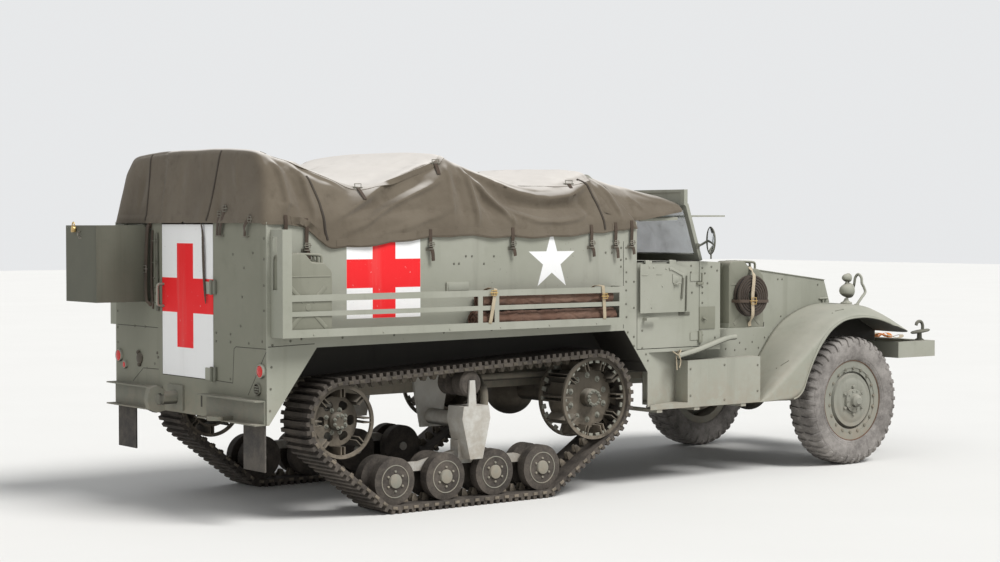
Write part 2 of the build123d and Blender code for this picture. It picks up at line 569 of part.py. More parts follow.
def strip_face(top, under, y):
    """A closed face of two smooth lines (x, z) joined at their ends."""
    over = Spline(*[(x, y, z) for x, z in top])
    below = Spline(*[(x, y, z) for x, z in under])
    return make_face([over, below, Line(over @ 1, below @ 1), Line(over @ 0, below @ 0)])


def fender():
    """Swept front fender: a crowned top over the tyre and a flat web down to the step."""
    thick = 6.0
    sections = []
    for column, y in enumerate((-975.0, -800.0, -400.0)):
        top = [row[column] for row in FENDER_TABLE]
        sections.append(strip_face(top, [(x, z - thick) for x, z in top], y))
    shell = Part() + loft(sections, ruled=True)
    upper = Spline(*[(x, -975, z) for x, z in [row[0] for row in FENDER_TABLE]])
    lower = Spline(*[(x, -975, z) for x, z in FENDER_LIP])
    foot = (-1033, -975, 528)
    web = extrude(make_face([upper, Line(upper @ 1, lower @ 0), lower, Line(lower @ 1, foot), Line(foot, upper @ 0)]),
                  6, dir=(0, -1, 0))
    keep = 1.0
    inner = [(FIREWALL_X, -HOOD_REAR_HALF - keep), (HOOD_FRONT_X, -HOOD_FRONT_HALF - keep),
             (900, -HOOD_FRONT_HALF - keep), (900, 0), (FIREWALL_X, 0)]
    return shell + web - level_plate(inner, 400, 1500)


def height_within(shell, x, y, reach):
    """Height of a shell's top inside a circle about x and y."""
    return (shell & Pos(x, y, 1200) * Cylinder(reach, 600)).bounding_box().max.Z


# Cab front, doors and flaps

def screen_point(share, forward):
    """A point (x, z) along the windscreen's slope, stepped forward square to it."""
    dx, dz = SCREEN_HEAD[0] - SCREEN_FOOT[0], SCREEN_HEAD[1] - SCREEN_FOOT[1]
    length = math.hypot(dx, dz)
    return (SCREEN_FOOT[0] + dx * share + forward * dz / length,
            SCREEN_FOOT[1] + dz * share - forward * dx / length)


def screen_slab(low, high, back, front, y_low, y_high):
    """A slab in the windscreen's plane."""
    return side_plate([screen_point(low, back), screen_point(low, front), screen_point(high, front),
                       screen_point(high, back)], y_low, y_high)


def windscreen_frame():
    """Windscreen frame with a centre post, and the header board above it."""
    frame = screen_slab(0, 1, -14, 14, -SCREEN_HALF, SCREEN_HALF)
    panes = [screen_slab(0.12, 0.90, -20, 20, *sorted((s * 22, s * (SCREEN_HALF - 40)))) for s in (-1, 1)]
    frame -= panes
    hx, hz = SCREEN_HEAD
    board = block(hx - 16, hx - 4, -SCREEN_HALF, SCREEN_HALF, hz - 12, hz + 100)
    ribs = [block(hx - 26, hx + 6, s * SCREEN_HALF, s * (SCREEN_HALF - 40), hz - 8, hz + 100) for s in (-1, 1)]
    rail = block(hx - 26, hx + 6, -SCREEN_HALF, SCREEN_HALF, hz + 82, hz + 102)
    return Part() + frame + board + ribs + rail


def windscreen_glass():
    panes = []
    for s in (-1, 1):
        panes.append(screen_slab(0.1207, 0.8993, -3, 3, *sorted((s * (22 + SEAT), s * (SCREEN_HALF - 40 - SEAT)))))
    return panes


VISOR_PIVOT = screen_point(0.765, 14 + 8 + SEAT)


def armour_visor():
    """Hinged armour plate over the windscreen, propped level, with two vision slots."""
    px, pz = VISOR_PIVOT
    half = SCREEN_HALF - GAP - 2
    plate = block(px + 6, px + 318, -half, half, pz - 3, pz + 8)
    slots = [block(px + 120, px + 138, s * 280, s * 620, pz - 20, pz + 20) for s in (-1, 1)]
    plate -= slots
    barrel = disc(px, -half, half, pz, 8)
    return plate + barrel


FLAP_PIVOT = (-HULL_HALF - 14.0, DOOR_HIGH + 4.0)
DOOR_HINGE = (DOOR_FRONT - GAP / 2, -HULL_HALF - 8.0 - SEAT)
FLAP_EARS = (-2100, -1880)   # x of the door's two ears that carry the flap


def cab_door():
    """Door leaf in the side armour with hinge straps, handle and the ears that carry its flap."""
    outline = [(DOOR_REAR + GAP, DOOR_LOW + GAP), (DOOR_FRONT - GAP, DOOR_LOW + GAP),
               (DOOR_FRONT - GAP, DOOR_HIGH - 4), (DOOR_REAR + GAP, DOOR_HIGH - 4)]
    leaf = side_plate(outline, -HULL_HALF, -HULL_HALF + ARMOUR)
    pin_x, pin_y = DOOR_HINGE
    hinges = []
    for z in (1436, 1025):
        hinges.append(block(DOOR_FRONT - 90, pin_x, -HULL_HALF - 5, -HULL_HALF, z - 26, z + 26))
        hinges.append(rod((pin_x, pin_y, z - 26), (pin_x, pin_y, z + 26), 8))
    handle = block(-2155, -2045, -HULL_HALF - 42, -HULL_HALF - 30, 1148, 1168)
    stem = block(-2155, -2137, -HULL_HALF - 31, -HULL_HALF, 1148, 1168)
    flap_y, flap_z = FLAP_PIVOT
    ears = [block(x - 14, x + 14, flap_y - 3, -HULL_HALF + 4, DOOR_HIGH - 16, flap_z + 6) for x in FLAP_EARS]
    return Part() + leaf + hinges + handle + stem + ears


def door_flap():
    """Drop-down armour flap over the cab's side opening, folded down outside the door."""
    flap_y, flap_z = FLAP_PIVOT
    outline = [(-2198, 1199), (-1765, 1199), (-1765, 1500), (-1890, 1534), (-2198, 1534)]
    leaf = side_plate(outline, flap_y - 10, flap_y - 10 + ARMOUR)
    knuckles = []
    for x in FLAP_EARS:
        near, far = x - 14 - SEAT, x - 14 - SEAT - 36
        knuckles.append(block(far, near, flap_y - 10, flap_y - 10 + ARMOUR, 1500, flap_z))
        knuckles.append(rod((far, flap_y, flap_z), (near, flap_y, flap_z), 8))
    return Part() + leaf + knuckles


def mirror_unit():
    """Round mirror on its arm from the windscreen post."""
    centre = Vector(-1549, -SCREEN_HALF - 77, 1694)
    face = Vector(0.72, -0.69, 0)
    shell = extrude(Plane(origin=centre - face * 9, z_dir=face) * Circle(95), 18)
    side_y = -SCREEN_HALF - SEAT
    foot = block(-1632, -1600, side_y - 6, side_y, 1634, 1670)
    arm = rod((-1614, side_y - 5, 1652), (-1556, centre.Y + 7, 1690), 8)
    stay = rod((-1549, centre.Y, 1560), centre, 6)
    return Part() + foot + shell + arm + stay


# Rear door, boxes and racks

REAR_HINGE = (HULL_REAR - 9.0 - SEAT, REAR_DOOR_RIGHT + GAP / 2)


def rear_door():
    """Rear door with hinge straps on its right and a grab handle on its left."""
    leaf = block(HULL_REAR, HULL_REAR + ARMOUR, REAR_DOOR_RIGHT + GAP, REAR_DOOR_LEFT - GAP,
                 REAR_DOOR_LOW + GAP, REAR_DOOR_HIGH)
    pin_x, pin_y = REAR_HINGE
    hinges = []
    for z in (1415, 880):
        hinges.append(block(HULL_REAR - 6, HULL_REAR, pin_y, pin_y + 95, z - 38, z + 38))
        hinges.append(rod((pin_x, pin_y, z - 38), (pin_x, pin_y, z + 38), 9))
    grab = bent_rod([(HULL_REAR + 1, 300, 1425), (HULL_REAR - 48, 300, 1425), (HULL_REAR - 48, 300, 1285),
                     (HULL_REAR + 1, 300, 1285)], 18, 9)
    return Part() + leaf + hinges + grab


BOX_Y0, BOX_Y1 = 490.0, 930.0
BOX_LOW, BOX_HIGH = 1306.0, 1802.0
LID_PIVOT = (HULL_REAR - 22.0, BOX_HIGH + 1.0)
LID_BARRELS = (BOX_Y0 + 90, BOX_Y1 - 90)    # y of the lid's two hinges


def stowage_box():
    """Open-topped sheet box on the rear plate."""
    wall = 5.0
    top = BOX_HIGH - 11 - SEAT
    shell = block(-REAR_REACH, HULL_REAR, BOX_Y0, BOX_Y1, BOX_LOW, top)
    shell -= block(-REAR_REACH + wall, HULL_REAR - wall, BOX_Y0 + wall, BOX_Y1 - wall, BOX_LOW + wall, BOX_HIGH)
    px, pz = LID_PIVOT
    ears = []
    for y in LID_BARRELS:
        for y0, y1 in ((y - 48, y - 40 - SEAT), (y + 40 + SEAT, y + 48)):
            ears.append(block(px - 3.5, HULL_REAR, y0, y1, top - 30, pz + 5))
    strip = block(HULL_REAR - 14, HULL_REAR, BOX_Y0, BOX_Y1, top - 20, top + 8)
    return Part() + shell + ears + strip


def stowage_lid():
    """The box's lid with a turned-down edge, hinged at the hull."""
    wall = 4.0
    lid = block(-REAR_REACH, HULL_REAR - 36, BOX_Y0, BOX_Y1, BOX_HIGH - 11, BOX_HIGH)
    lid -= block(-REAR_REACH + wall, HULL_REAR - 10, BOX_Y0 + wall, BOX_Y1 - wall, BOX_HIGH - 14, BOX_HIGH - wall)
    px, pz = LID_PIVOT
    barrels = [rod((px, y - 40, pz), (px, y + 40, pz), 5) for y in LID_BARRELS]
    tabs = [block(px - 20, px, y - 40, y + 40, BOX_HIGH - 4, BOX_HIGH) for y in LID_BARRELS]
    return Part() + lid + barrels + tabs


def side_rack():
    """Open side rack: tray, two rails, tall rear plate with a slot, short front plate and bars."""
    hull = -HULL_HALF
    out = -RACK_HALF
    tray = block(RACK_REAR, RACK_FRONT, out, hull, RACK_LOW, RACK_LOW + 4)
    lip = block(RACK_REAR, RACK_FRONT, out, out + 5, RACK_LOW, RACK_TRAY_HIGH)
    rear = block(RACK_REAR, RACK_REAR + 6, out, hull, RACK_LOW, RACK_POST_HIGH)
    rear -= block(RACK_REAR - 1, RACK_REAR + 7, out + 62, hull - 24, 1420, 1735)
    post = block(RACK_REAR, RACK_REAR + 65, out, out + 6, RACK_LOW, RACK_POST_HIGH)
    front = block(RACK_FRONT - 6, RACK_FRONT, out, hull, RACK_LOW, RACK_FRONT_HIGH)
    front_post = block(RACK_FRONT - 46, RACK_FRONT, out, out + 6, RACK_LOW, RACK_FRONT_HIGH)
    rails = [block(RACK_REAR, RACK_FRONT, out, out + 6, low, high) for low, high in ((1351, 1390), (1262, 1291))]
    bars = [block(x - 18, x + 18, out, out + 6, RACK_LOW, 1390) for x in (-3640, -3510)]
    return Part() + tray + lip + rear + post + front + front_post + rails + bars


def jerrycan(x0, x1, y0, y1, z0, z1):
    """Fuel can: pressed body with sloped shoulders and three carrying handles."""
    top = z1 - 38
    body = side_plate([(x0, z0), (x1, z0), (x1, top - 92), (x1 - 40, top - 40), (x1 - 96, top), (x0 + 30, top),
                       (x0, top - 26)], y0, y1)
    depth = y1 - y0
    body = fillet(body.edges().filter_by(Axis.Z), depth * 0.18)
    handles = []
    for share in (0.22, 0.5, 0.78):
        y = y0 + depth * share
        handles.append(bent_rod([(x0 + 60, y, top - 2), (x0 + 60, y, z1 - 9), (x1 - 120, y, z1 - 9),
                                 (x1 - 120, y, top - 2)], 14, depth * 0.06))
    return Part() + body + handles


# Boxes, lamps and rear gear

def side_box():
    """Tool box on the running board, the step behind it and its brackets."""
    front_x, rear_x = -1037.0, -1742.0
    low, high, out = 530.0, 854.0, -HULL_HALF - 5.0
    wall_y = -HULL_HALF + (HULL_HALF - HOOD_REAR_HALF) / (FIREWALL_X + 2110) * (rear_x + 2110) - 2
    box = block(rear_x, front_x, out, wall_y, low, high)
    lid = block(rear_x - 4, front_x, out, wall_y, high - 0.1, high + 4)
    step = level_plate([(-2088, out), (rear_x, out), (rear_x, wall_y), (-2088, -HULL_HALF + 4)], low, low + 35)
    step -= level_plate([(-2100, -HULL_HALF + 5), (-2100, -HULL_HALF - 1), (-2088, -HULL_HALF - 1),
                         (rear_x, wall_y), (rear_x, wall_y + 1)], low - 1, low + 36)
    beam_x = (-2000, -1650, -1200)
    beams = [block(x - 25, x + 25, out + 5, -RAIL_Y, low - 22, low) for x in beam_x]
    hangs = [block(x - 25, x + 25, -RAIL_Y - 8, -RAIL_Y, low, RAIL_HIGH - 30) for x in beam_x]
    return [box + lid, step, *beams, *hangs]


def headlamp():
    """Headlamp bowl and marker lamp on a post, with a bent guard in front."""
    x, y, z = 180.0, -700.0, 1284.0
    bowl_face = make_face(Polyline((x + 30, z), (x + 30, z + 72), (x + 12, z + 74), (x - 40, z + 58),
                                   (x - 74, z + 24), (x - 80, z), close=True))
    bowl = revolve(Plane.XZ.offset(-y) * bowl_face, Axis((0, y, z), (1, 0, 0)))
    marker_face = make_face(Polyline((x + 22, 1396), (x + 20, 1410), (x + 4, 1428), (x - 26, 1424), (x - 46, 1396),
                                     close=True))
    marker = revolve(Plane.XZ.offset(-y) * marker_face, Axis((0, y, 1396), (1, 0, 0)))
    shell = fender()
    seat_z = height_within(shell, x - 10, y, 46) + SEAT
    post = rod((x - 10, y, seat_z), (x - 10, y, z - 40), 16)
    stem = rod((x - 8, y, z + 50), (x - 8, y, 1382), 11)
    base = Pos(x - 10, y, seat_z + 7) * Cylinder(46, 14)
    foot_z = max(height_within(shell, x + 62, y + side, 17) for side in (-70, 70)) + SEAT
    loop = [(x + 62, y - 70, foot_z), (x + 130, y - 70, z - 14), (x + 92, y - 70, z + 128)]
    guard = bent_rod(loop + [(px, 2 * y - py, pz) for px, py, pz in reversed(loop)], 26, 8)
    return [Part() + bowl + marker + post + stem + base, guard]


def towing_gear():
    """Rear bumperettes, pintle hook on its plate and the tow eye."""
    x = HULL_REAR
    parts = []
    for y0, y1 in ((-968, -269), (320, 968)):
        parts.append(block(x - 78, x - 8, y0, y1, 753, 761))
        parts.append(block(x - 78, x - 8, y0, y1, 612, 620))
        parts.append(block(x - 12, x - 0.1, y0, y1, 612, 761))
    pintle_y, pintle_z = 133.0, 708.0
    parts.append(block(x - 14, x - 0.1, pintle_y - 100, pintle_y + 100, pintle_z - 80, pintle_z + 80))
    parts.append(rod((x - 10, pintle_y, pintle_z), (x - 110, pintle_y, pintle_z), 42))
    hook = [(x - 100, 760), (x - 150, 790), (x - 205, 775), (x - 222, 700), (x - 205, 640), (x - 160, 618),
            (x - 100, 630), (x - 100, 668), (x - 150, 664), (x - 172, 700), (x - 160, 738), (x - 130, 742),
            (x - 100, 715)]
    parts.append(side_plate(hook, pintle_y - 26, pintle_y + 26))
    return Part() + parts


def tow_eye():
    x = HULL_REAR
    eye = Pos(x - 112, -560, 632) * (Cylinder(52, 22) - Cylinder(26, 30))
    return eye + block(x - 82, x - 11, -596, -524, 621, 643)


def tail_lamps():
    """Round tail lamps in short cans on the rear plate."""
    lamps = []
    for y, z, r in ((-920, 935, 42), (920, 935, 42), (850, 872, 26)):
        lamps.append(rod((HULL_REAR - 0.1, y, z), (HULL_REAR - 42, y, z), r))
    return lamps


def mud_flap():
    return block(HULL_REAR + 1, HULL_REAR + 11, -950, -700, 330, HULL_BOTTOM - SEAT)


# Seats, steering, canopy and stowed gear

def seat(x, y):
    """A cab seat: base box with cushion and leaning back."""
    top = FLOOR_Z + 294
    base = block(x - 150, x + 190, y - 190, y + 190, FLOOR_Z + SEAT, top - 80 - SEAT)
    cushion = block(x - 200, x + 200, y - 220, y + 220, top - 80, top)
    back = side_plate([(x - 240, top - 60), (x - 160, top - 60), (x - 215, top + 520), (x - 285, top + 520)],
                      y - 215, y + 215)
    return [cushion + back, base]


def bench(s):
    """Long bench over a track arch: cushion on the arch's roof and a back pad on the hull side."""
    rear, front = -4770.0, -2420.0
    low, high = ARCH[1][1] + 6.2, ARCH[2][1] + 5.2
    outline = [(rear, low + SEAT), (front, high + SEAT), (front, high + 80), (rear, low + 80)]
    cushion = side_plate(outline, *sorted((s * (HULL_HALF - 366), s * (HULL_HALF - 80))))
    pad_y = HULL_HALF - ARMOUR - SEAT
    back = block(rear, front, *sorted((s * (pad_y - 40), s * pad_y)), high + 110, 1480)
    return [cushion, back]


def steering_wheel():
    """Wheel on its slanting column, left-hand drive."""
    centre, lean = Vector(-1720, 400, 1345), Vector(-0.6, 0, 0.8)
    plane = Plane(origin=centre, z_dir=lean)
    rim = plane.location * Torus(190, 14)
    hub = extrude(Plane(origin=centre - lean * 20, z_dir=lean) * Circle(38), 34)
    spokes = [plane.location * Rot(0, 0, 120 * i) * Pos(110, 0, 0) * Box(160, 22, 10) for i in range(3)]
    run = (centre.Z - FLOOR_Z - 12 - SEAT) / lean.Z
    column = rod(centre, centre - lean * run, 20)
    return Part() + rim + hub + spokes + column


CANVAS_TABLE = [
    # x, hem height, (half width, height) of eave, hip and shoulder, ridge height
    (-5160, 1816, (990, 1836), (900, 2150), (800, 2266), 2290),
    (-5072, 1816, (990, 1836), (900, 2150), (800, 2266), 2290),
    (-4649, 1664, (990, 1836), (905, 2060), (815, 2150), 2190),
    (-4300, 1690, (990, 1836), (910, 1985), (825, 2060), 2120),
    (-3728, 1748, (990, 1836), (900, 2150), (800, 2258), 2284),
    (-2994, 1729, (990, 1836), (905, 1975), (820, 2045), 2110),
    (-2475, 1760, (990, 1836), (900, 2080), (800, 2160), 2190),
    (-2210.5, 1784, (990, 1836), (905, 1985), (815, 2070), 2106),
    (-2203, 1886, (974, 1900), (900, 1983), (820, 2066), 2102),
    (-1742.3, 1925, (945, 1932), (920, 1950), (860, 1966), 1972),
]
CANVAS_T = 8.0


def canvas_section(row, inset, drop):
    x, hem, eave, hip, shoulder, ridge = row
    side = [(eave[0] - inset, hem - drop), (eave[0] - inset, eave[1]), (hip[0] - inset, hip[1] - inset / 2),
            (shoulder[0] - inset, shoulder[1] - inset)]
    points = [(-y, z) for y, z in side] + [(0, ridge - inset)] + list(reversed(side))
    return Plane.YZ.offset(x) * make_face(Polyline(*points, close=True))


def canvas_top():
    """The canvas as a sheet of even thickness over its bows, cut to the slope of its rear face."""
    outer = loft([canvas_section(row, 0, 0) for row in CANVAS_TABLE], ruled=True)
    inner_rows = [(x - 20 if i == 0 else x + 20 if i == len(CANVAS_TABLE) - 1 else x, *rest)
                  for i, (x, *rest) in enumerate(CANVAS_TABLE)]
    inner = loft([canvas_section(row, CANVAS_T, 220) for row in inner_rows], ruled=True)
    foot, head = (-5138.0, 1816.0), (-5080.0, 2292.0)
    slope = (head[0] - foot[0]) / (head[1] - foot[1])
    low_z, high_z = 1400.0, 2500.0
    def cut(step):
        x_low = foot[0] + slope * (low_z - foot[1]) + step
        x_high = foot[0] + slope * (high_z - foot[1]) + step
        return side_plate([(-5400, low_z), (x_low, low_z), (x_high, high_z), (-5400, high_z)], -1100, 1100)
    sheet_all = (outer - cut(0)) - (inner - cut(CANVAS_T))
    cloths = [sheet_all & block(-5400, -5055, -1100, 1100, 1400, 2500)]
    joins = [-5055] + [row[0] for row in CANVAS_TABLE if -5000 < row[0] < -2000] + [-1500]
    for x0, x1 in zip(joins, joins[1:]):
        for y0, y1 in ((-1100, -790), (-790, 790), (790, 1100)):
            cloths.append(sheet_all & block(x0, x1, y0, y1, 1400, 2500))
    return [solid for cloth in cloths for solid in (Part() + cloth).solids()]


def canopy_bows():
    """Three bent tube bows standing against the hull sides, just under the canvas."""
    tube = 16.0
    bows = []
    for index, step, slack in ((1, 16, 11.5), (4, 0, 7), (6, 0, 7)):
        row_x, _, eave, hip, shoulder, ridge = CANVAS_TABLE[index]
        x, drop, foot_y = row_x + step, CANVAS_T + tube + slack, HULL_HALF - ARMOUR - tube - SEAT
        half_path = [(-foot_y, 1500), (-foot_y, 1836), (-hip[0] + 36, hip[1] - slack - 10),
                     (-shoulder[0] + 26, shoulder[1] - drop - 2)]
        points = [(x, y, z) for y, z in half_path] + [(x, 0, ridge - drop)]
        points += [(x, -y, z) for y, z in reversed(half_path)]
        bows.append(bent_rod(points, 60, tube))
    return bows


def rolled_tarpaulin():
    """Rolled sheets lying in the right rack, closed at both ends."""
    room = RACK_HALF - 6 - HULL_HALF
    radius = room * 0.46
    y, low = -HULL_HALF - room / 2, RACK_LOW + 4
    return [rod((-3650, y, z), (-2490, y, z), radius)
            for z in (low + SEAT + radius, low + 2 * SEAT + 3 * radius)]


def rope_coil():
    """Coiled rope strapped to the front fuel can."""
    thick = 58
    ring = turned([(52, 0), (158, 0), (158, thick), (52, thick)], 0, 0, 0)
    return Pos(-1177, CAN_OUT - SEAT, 1309) * ring


# Writing all pieces

os.makedirs("parts", exist_ok=True)

write_pair("tyre", tyre())
write_pair("wheel", wheel())
write_pair("knuckle", knuckle())
write("front_axle", front_axle())
write("drive_axle", drive_axle())
write("sprockets", sprocket(), left(sprocket()))
write("idlers", idler(), left(idler()))
write_pair("bogie", bogie())
write_pair("bogie_wheels", *bogie_wheels())
write_pair("track", track())
write("chassis_frame", *chassis_frame(), idler_bracket(), left(idler_bracket()))
write("engine_block", engine_block())
write("front_bumper", front_bumper())
write("tow_hook", tow_hook())
write("winch", winch())
write_pair("hull_side", hull_side())
write("hull_rear", hull_rear())
write("hull_floor", *hull_floor())
write("cowl", cowl())
write("engine_armour", engine_armour())
write_pair("hood_top", hood_top())
write_pair("fender", fender())
write("windscreen_frame", windscreen_frame())
write("windscreen_glass", *windscreen_glass())
write("armour_visor", armour_visor())
write_pair("cab_door", cab_door())
write_pair("door_flap", door_flap())
write("mirrors", mirror_unit(), left(mirror_unit()))
write("rear_door", rear_door())
write("stowage_box", stowage_box())
write("stowage_lid", stowage_lid())
write_pair("side_rack", side_rack())
write("jerrycans", jerrycan(-5086, -4741, -RACK_HALF + 8, -HULL_HALF - 4, RACK_LOW + 4 + SEAT, 1640),
      jerrycan(CAN_X0, CAN_X1, CAN_OUT, CAN_IN - SEAT, CAN_Z + SEAT, 1540))
write_pair("side_box", *side_box())
write("headlamps", *headlamp(), *[left(piece) for piece in headlamp()])
write("towing_gear", towing_gear() + tow_eye())
write("tail_lamps", *tail_lamps())
write("mud_flaps", mud_flap(), left(mud_flap()))
write("cab_seats", *seat(-1985, -470), *seat(-1985, 470))
write("bench_seats", *bench(-1), *bench(1))
write("steering_wheel", steering_wheel())
write("canvas_top", *canvas_top())
write("canopy_bows", *canopy_bows())
write("rolled_tarpaulin", *rolled_tarpaulin())
write("rope_coil", rope_coil())
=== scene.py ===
# %% [markdown]
# # An armoured half-track ambulance
#
# The CAD model is loaded first and stays as it is. Everything that is made here is set against it: cloth,
# tread, ropes and straps, small fasteners, and the finish of every surface. Sizes are in metres. Most places
# are written in millimetres from the front axle, because that is how the vehicle was measured, and spot()
# turns them into the frame's metres.

# %% Load the frame
import json
import math

import bmesh
import bpy
from mathutils import Matrix, Vector, noise

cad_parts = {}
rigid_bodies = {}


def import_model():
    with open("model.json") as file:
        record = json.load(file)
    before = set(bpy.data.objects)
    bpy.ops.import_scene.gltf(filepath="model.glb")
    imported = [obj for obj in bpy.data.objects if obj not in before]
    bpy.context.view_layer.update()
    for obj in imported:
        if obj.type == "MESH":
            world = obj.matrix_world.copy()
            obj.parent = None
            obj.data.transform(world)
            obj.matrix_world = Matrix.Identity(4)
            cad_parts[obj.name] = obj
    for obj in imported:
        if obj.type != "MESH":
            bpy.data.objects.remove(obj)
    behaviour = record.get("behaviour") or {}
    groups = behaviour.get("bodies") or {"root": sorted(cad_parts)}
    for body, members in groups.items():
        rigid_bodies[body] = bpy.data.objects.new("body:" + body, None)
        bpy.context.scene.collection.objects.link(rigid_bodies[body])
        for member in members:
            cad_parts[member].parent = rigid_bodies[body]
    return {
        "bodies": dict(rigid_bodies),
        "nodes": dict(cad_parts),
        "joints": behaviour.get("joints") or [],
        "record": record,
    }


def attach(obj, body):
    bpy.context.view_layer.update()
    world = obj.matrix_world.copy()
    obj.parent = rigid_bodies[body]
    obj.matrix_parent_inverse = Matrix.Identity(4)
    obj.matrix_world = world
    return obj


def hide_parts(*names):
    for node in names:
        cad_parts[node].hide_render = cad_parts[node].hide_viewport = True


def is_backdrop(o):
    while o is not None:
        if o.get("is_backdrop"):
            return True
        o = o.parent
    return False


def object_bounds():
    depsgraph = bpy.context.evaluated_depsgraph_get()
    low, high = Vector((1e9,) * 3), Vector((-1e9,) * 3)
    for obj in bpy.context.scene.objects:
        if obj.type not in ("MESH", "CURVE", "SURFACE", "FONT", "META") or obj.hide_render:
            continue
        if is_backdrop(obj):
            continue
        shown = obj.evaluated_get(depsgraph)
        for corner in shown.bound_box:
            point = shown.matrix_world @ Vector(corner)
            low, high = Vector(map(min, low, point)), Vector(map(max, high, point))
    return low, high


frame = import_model()
nodes = frame["nodes"]
cad_low, cad_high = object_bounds()
FRONT_AXLE_X = 2.2575
print("frame:", len(nodes), "nodes, box", [round(v, 3) for v in (*cad_low, *cad_high)])


def spot(x, y, z):
    """A place in the frame from millimetres forward of the front axle, to the left, and up."""
    return Vector((FRONT_AXLE_X + x / 1000, y / 1000, z / 1000))


def spots(*places):
    return [spot(*place) for place in places]


def station(x):
    """The frame's X, in metres, of a place given in millimetres forward of the front axle."""
    return spot(x, 0, 0).x


# %% [markdown]
# ## Camera, floor and light
#
# The camera stands behind the vehicle's right rear corner, a little under two metres up, with a long lens. Its
# place was worked out from the wheelbase, the wheels and the body's corners in the photograph.

# %% Camera
CAMERA_SPOT = (-11259.6, -11274.0, 1822.2)
CAMERA_YAW, CAMERA_PITCH, CAMERA_ROLL = 0.9176, 0.0294, 0.0008
SENSOR_WIDTH, FOCAL_LENGTH = 36.0, 72.37    # millimetres
FARTHEST = 200      # metres

camera = bpy.data.objects.new("camera", bpy.data.cameras.new("camera"))
bpy.context.scene.collection.objects.link(camera)
camera.location = spot(*CAMERA_SPOT)
ahead = Vector((math.cos(CAMERA_YAW) * math.cos(CAMERA_PITCH), math.sin(CAMERA_YAW) * math.cos(CAMERA_PITCH),
                -math.sin(CAMERA_PITCH)))
camera.rotation_mode = "QUATERNION"
camera.rotation_quaternion = ahead.to_track_quat("-Z", "Y") @ Matrix.Rotation(-CAMERA_ROLL, 3, "Z").to_quaternion()
camera.data.sensor_width, camera.data.lens = SENSOR_WIDTH, FOCAL_LENGTH
camera.data.clip_end = FARTHEST
bpy.context.scene.camera = camera
bpy.context.scene.view_settings.view_transform = "Standard"
print("camera at", [round(v, 2) for v in camera.location])

# %% [markdown]
# Shader maths reads best as plain expressions. Num wraps one number socket, and its operators add the Math
# nodes. Finish is a material with one method, node(), which adds any other node.


# %% A small language for materials
def math_node(operation, turned=False):
    """One operator of Num; turned puts the other number first."""
    def method(self, other):
        first, second = (other, self) if turned else (self, other)
        return self.finish.node("Math", {"operation": operation}, {0: first, 1: second})

    return method


class Num:
    """One number socket of a material. + - and * add Math nodes."""

    def __init__(self, finish, socket):
        self.finish, self.socket = finish, socket

    __add__, __radd__ = math_node("ADD"), math_node("ADD", True)
    __sub__, __rsub__ = math_node("SUBTRACT"), math_node("SUBTRACT", True)
    __mul__, __rmul__ = math_node("MULTIPLY"), math_node("MULTIPLY", True)


class Finish:
    """A material, and the nodes that are added to it."""

    def __init__(self, name):
        self.material = bpy.data.materials.new(name)
        self.material.use_nodes = True
        self.tree = self.material.node_tree
        self.shader = next(n for n in self.tree.nodes if n.type == "BSDF_PRINCIPLED")

    def node(self, kind, settings=None, values=None, out=0):
        """Adds a node of this kind, sets it, fills its sockets and gives one output."""
        made = self.tree.nodes.new("ShaderNode" + kind)
        for name, value in (settings or {}).items():
            setattr(made, name, value)
        for name, value in (values or {}).items():
            self.fill(made.inputs[name], value)
        return Num(self, made.outputs[out])

    def fill(self, socket, value):
        if isinstance(value, Num):
            self.tree.links.new(value.socket, socket)
        elif hasattr(value, "__len__") and len(value) == 3 and socket.type == "RGBA":
            socket.default_value = (*value, 1.0)
        else:
            socket.default_value = value

    def surface(self, **values):
        """Fills the shader's own sockets; base_color is Base Color, and so on."""
        for name, value in values.items():
            self.fill(self.shader.inputs[name.replace("_", " ").title().replace("Ior", "IOR")], value)
        return self

    def place(self):
        return self.node("TexCoord", out="Object")

    def axis(self, name):
        """The X, Y or Z of a point of the piece, in metres."""
        return self.node("SeparateXYZ", values={0: self.place()}, out=name)

    def facing_up(self):
        return self.node("SeparateXYZ", values={0: self.node("NewGeometry", out="Normal")}, out="Z")

    def noise(self, scale, detail=4.0, roughness=0.55, stretch=None):
        where = self.place()
        if stretch:
            where = self.node("Mapping", values={"Vector": where, "Scale": stretch})
        return self.node("TexNoise", values={"Vector": where, "Scale": scale, "Detail": detail,
                                             "Roughness": roughness}, out="Fac")

    def ramp(self, value, low, high):
        """0 below low, 1 above high, and a smooth step between them."""
        return self.node("MapRange", {"interpolation_type": "SMOOTHSTEP"},
                         {"Value": value, "From Min": low, "From Max": high})

    def mix(self, share, first, second):
        return self.node("Mix", {"data_type": "RGBA", "clamp_factor": True}, {0: share, 6: first, 7: second}, out=2)

    def bump(self, height, depth, strength=1.0, under=None):
        values = {"Height": height, "Distance": depth, "Strength": strength}
        if under is not None:
            values["Normal"] = under
        return self.node("Bump", values=values)


print("material helpers ready")

# %% [markdown]
# The stage is a pale floor and an even pale surround. The surround lights the object softly, and a broad sun
# from the right and above gives the sides more light than the rear, as the photograph does. A weaker sun keeps
# the rear from going dark.

# %% Floor, world and sun
FLOOR_COLOUR, FLOOR_PALE, FLOOR_HALF = (0.74, 0.73, 0.70), (0.78, 0.77, 0.74), 60
SURROUND_STRENGTH = 0.40

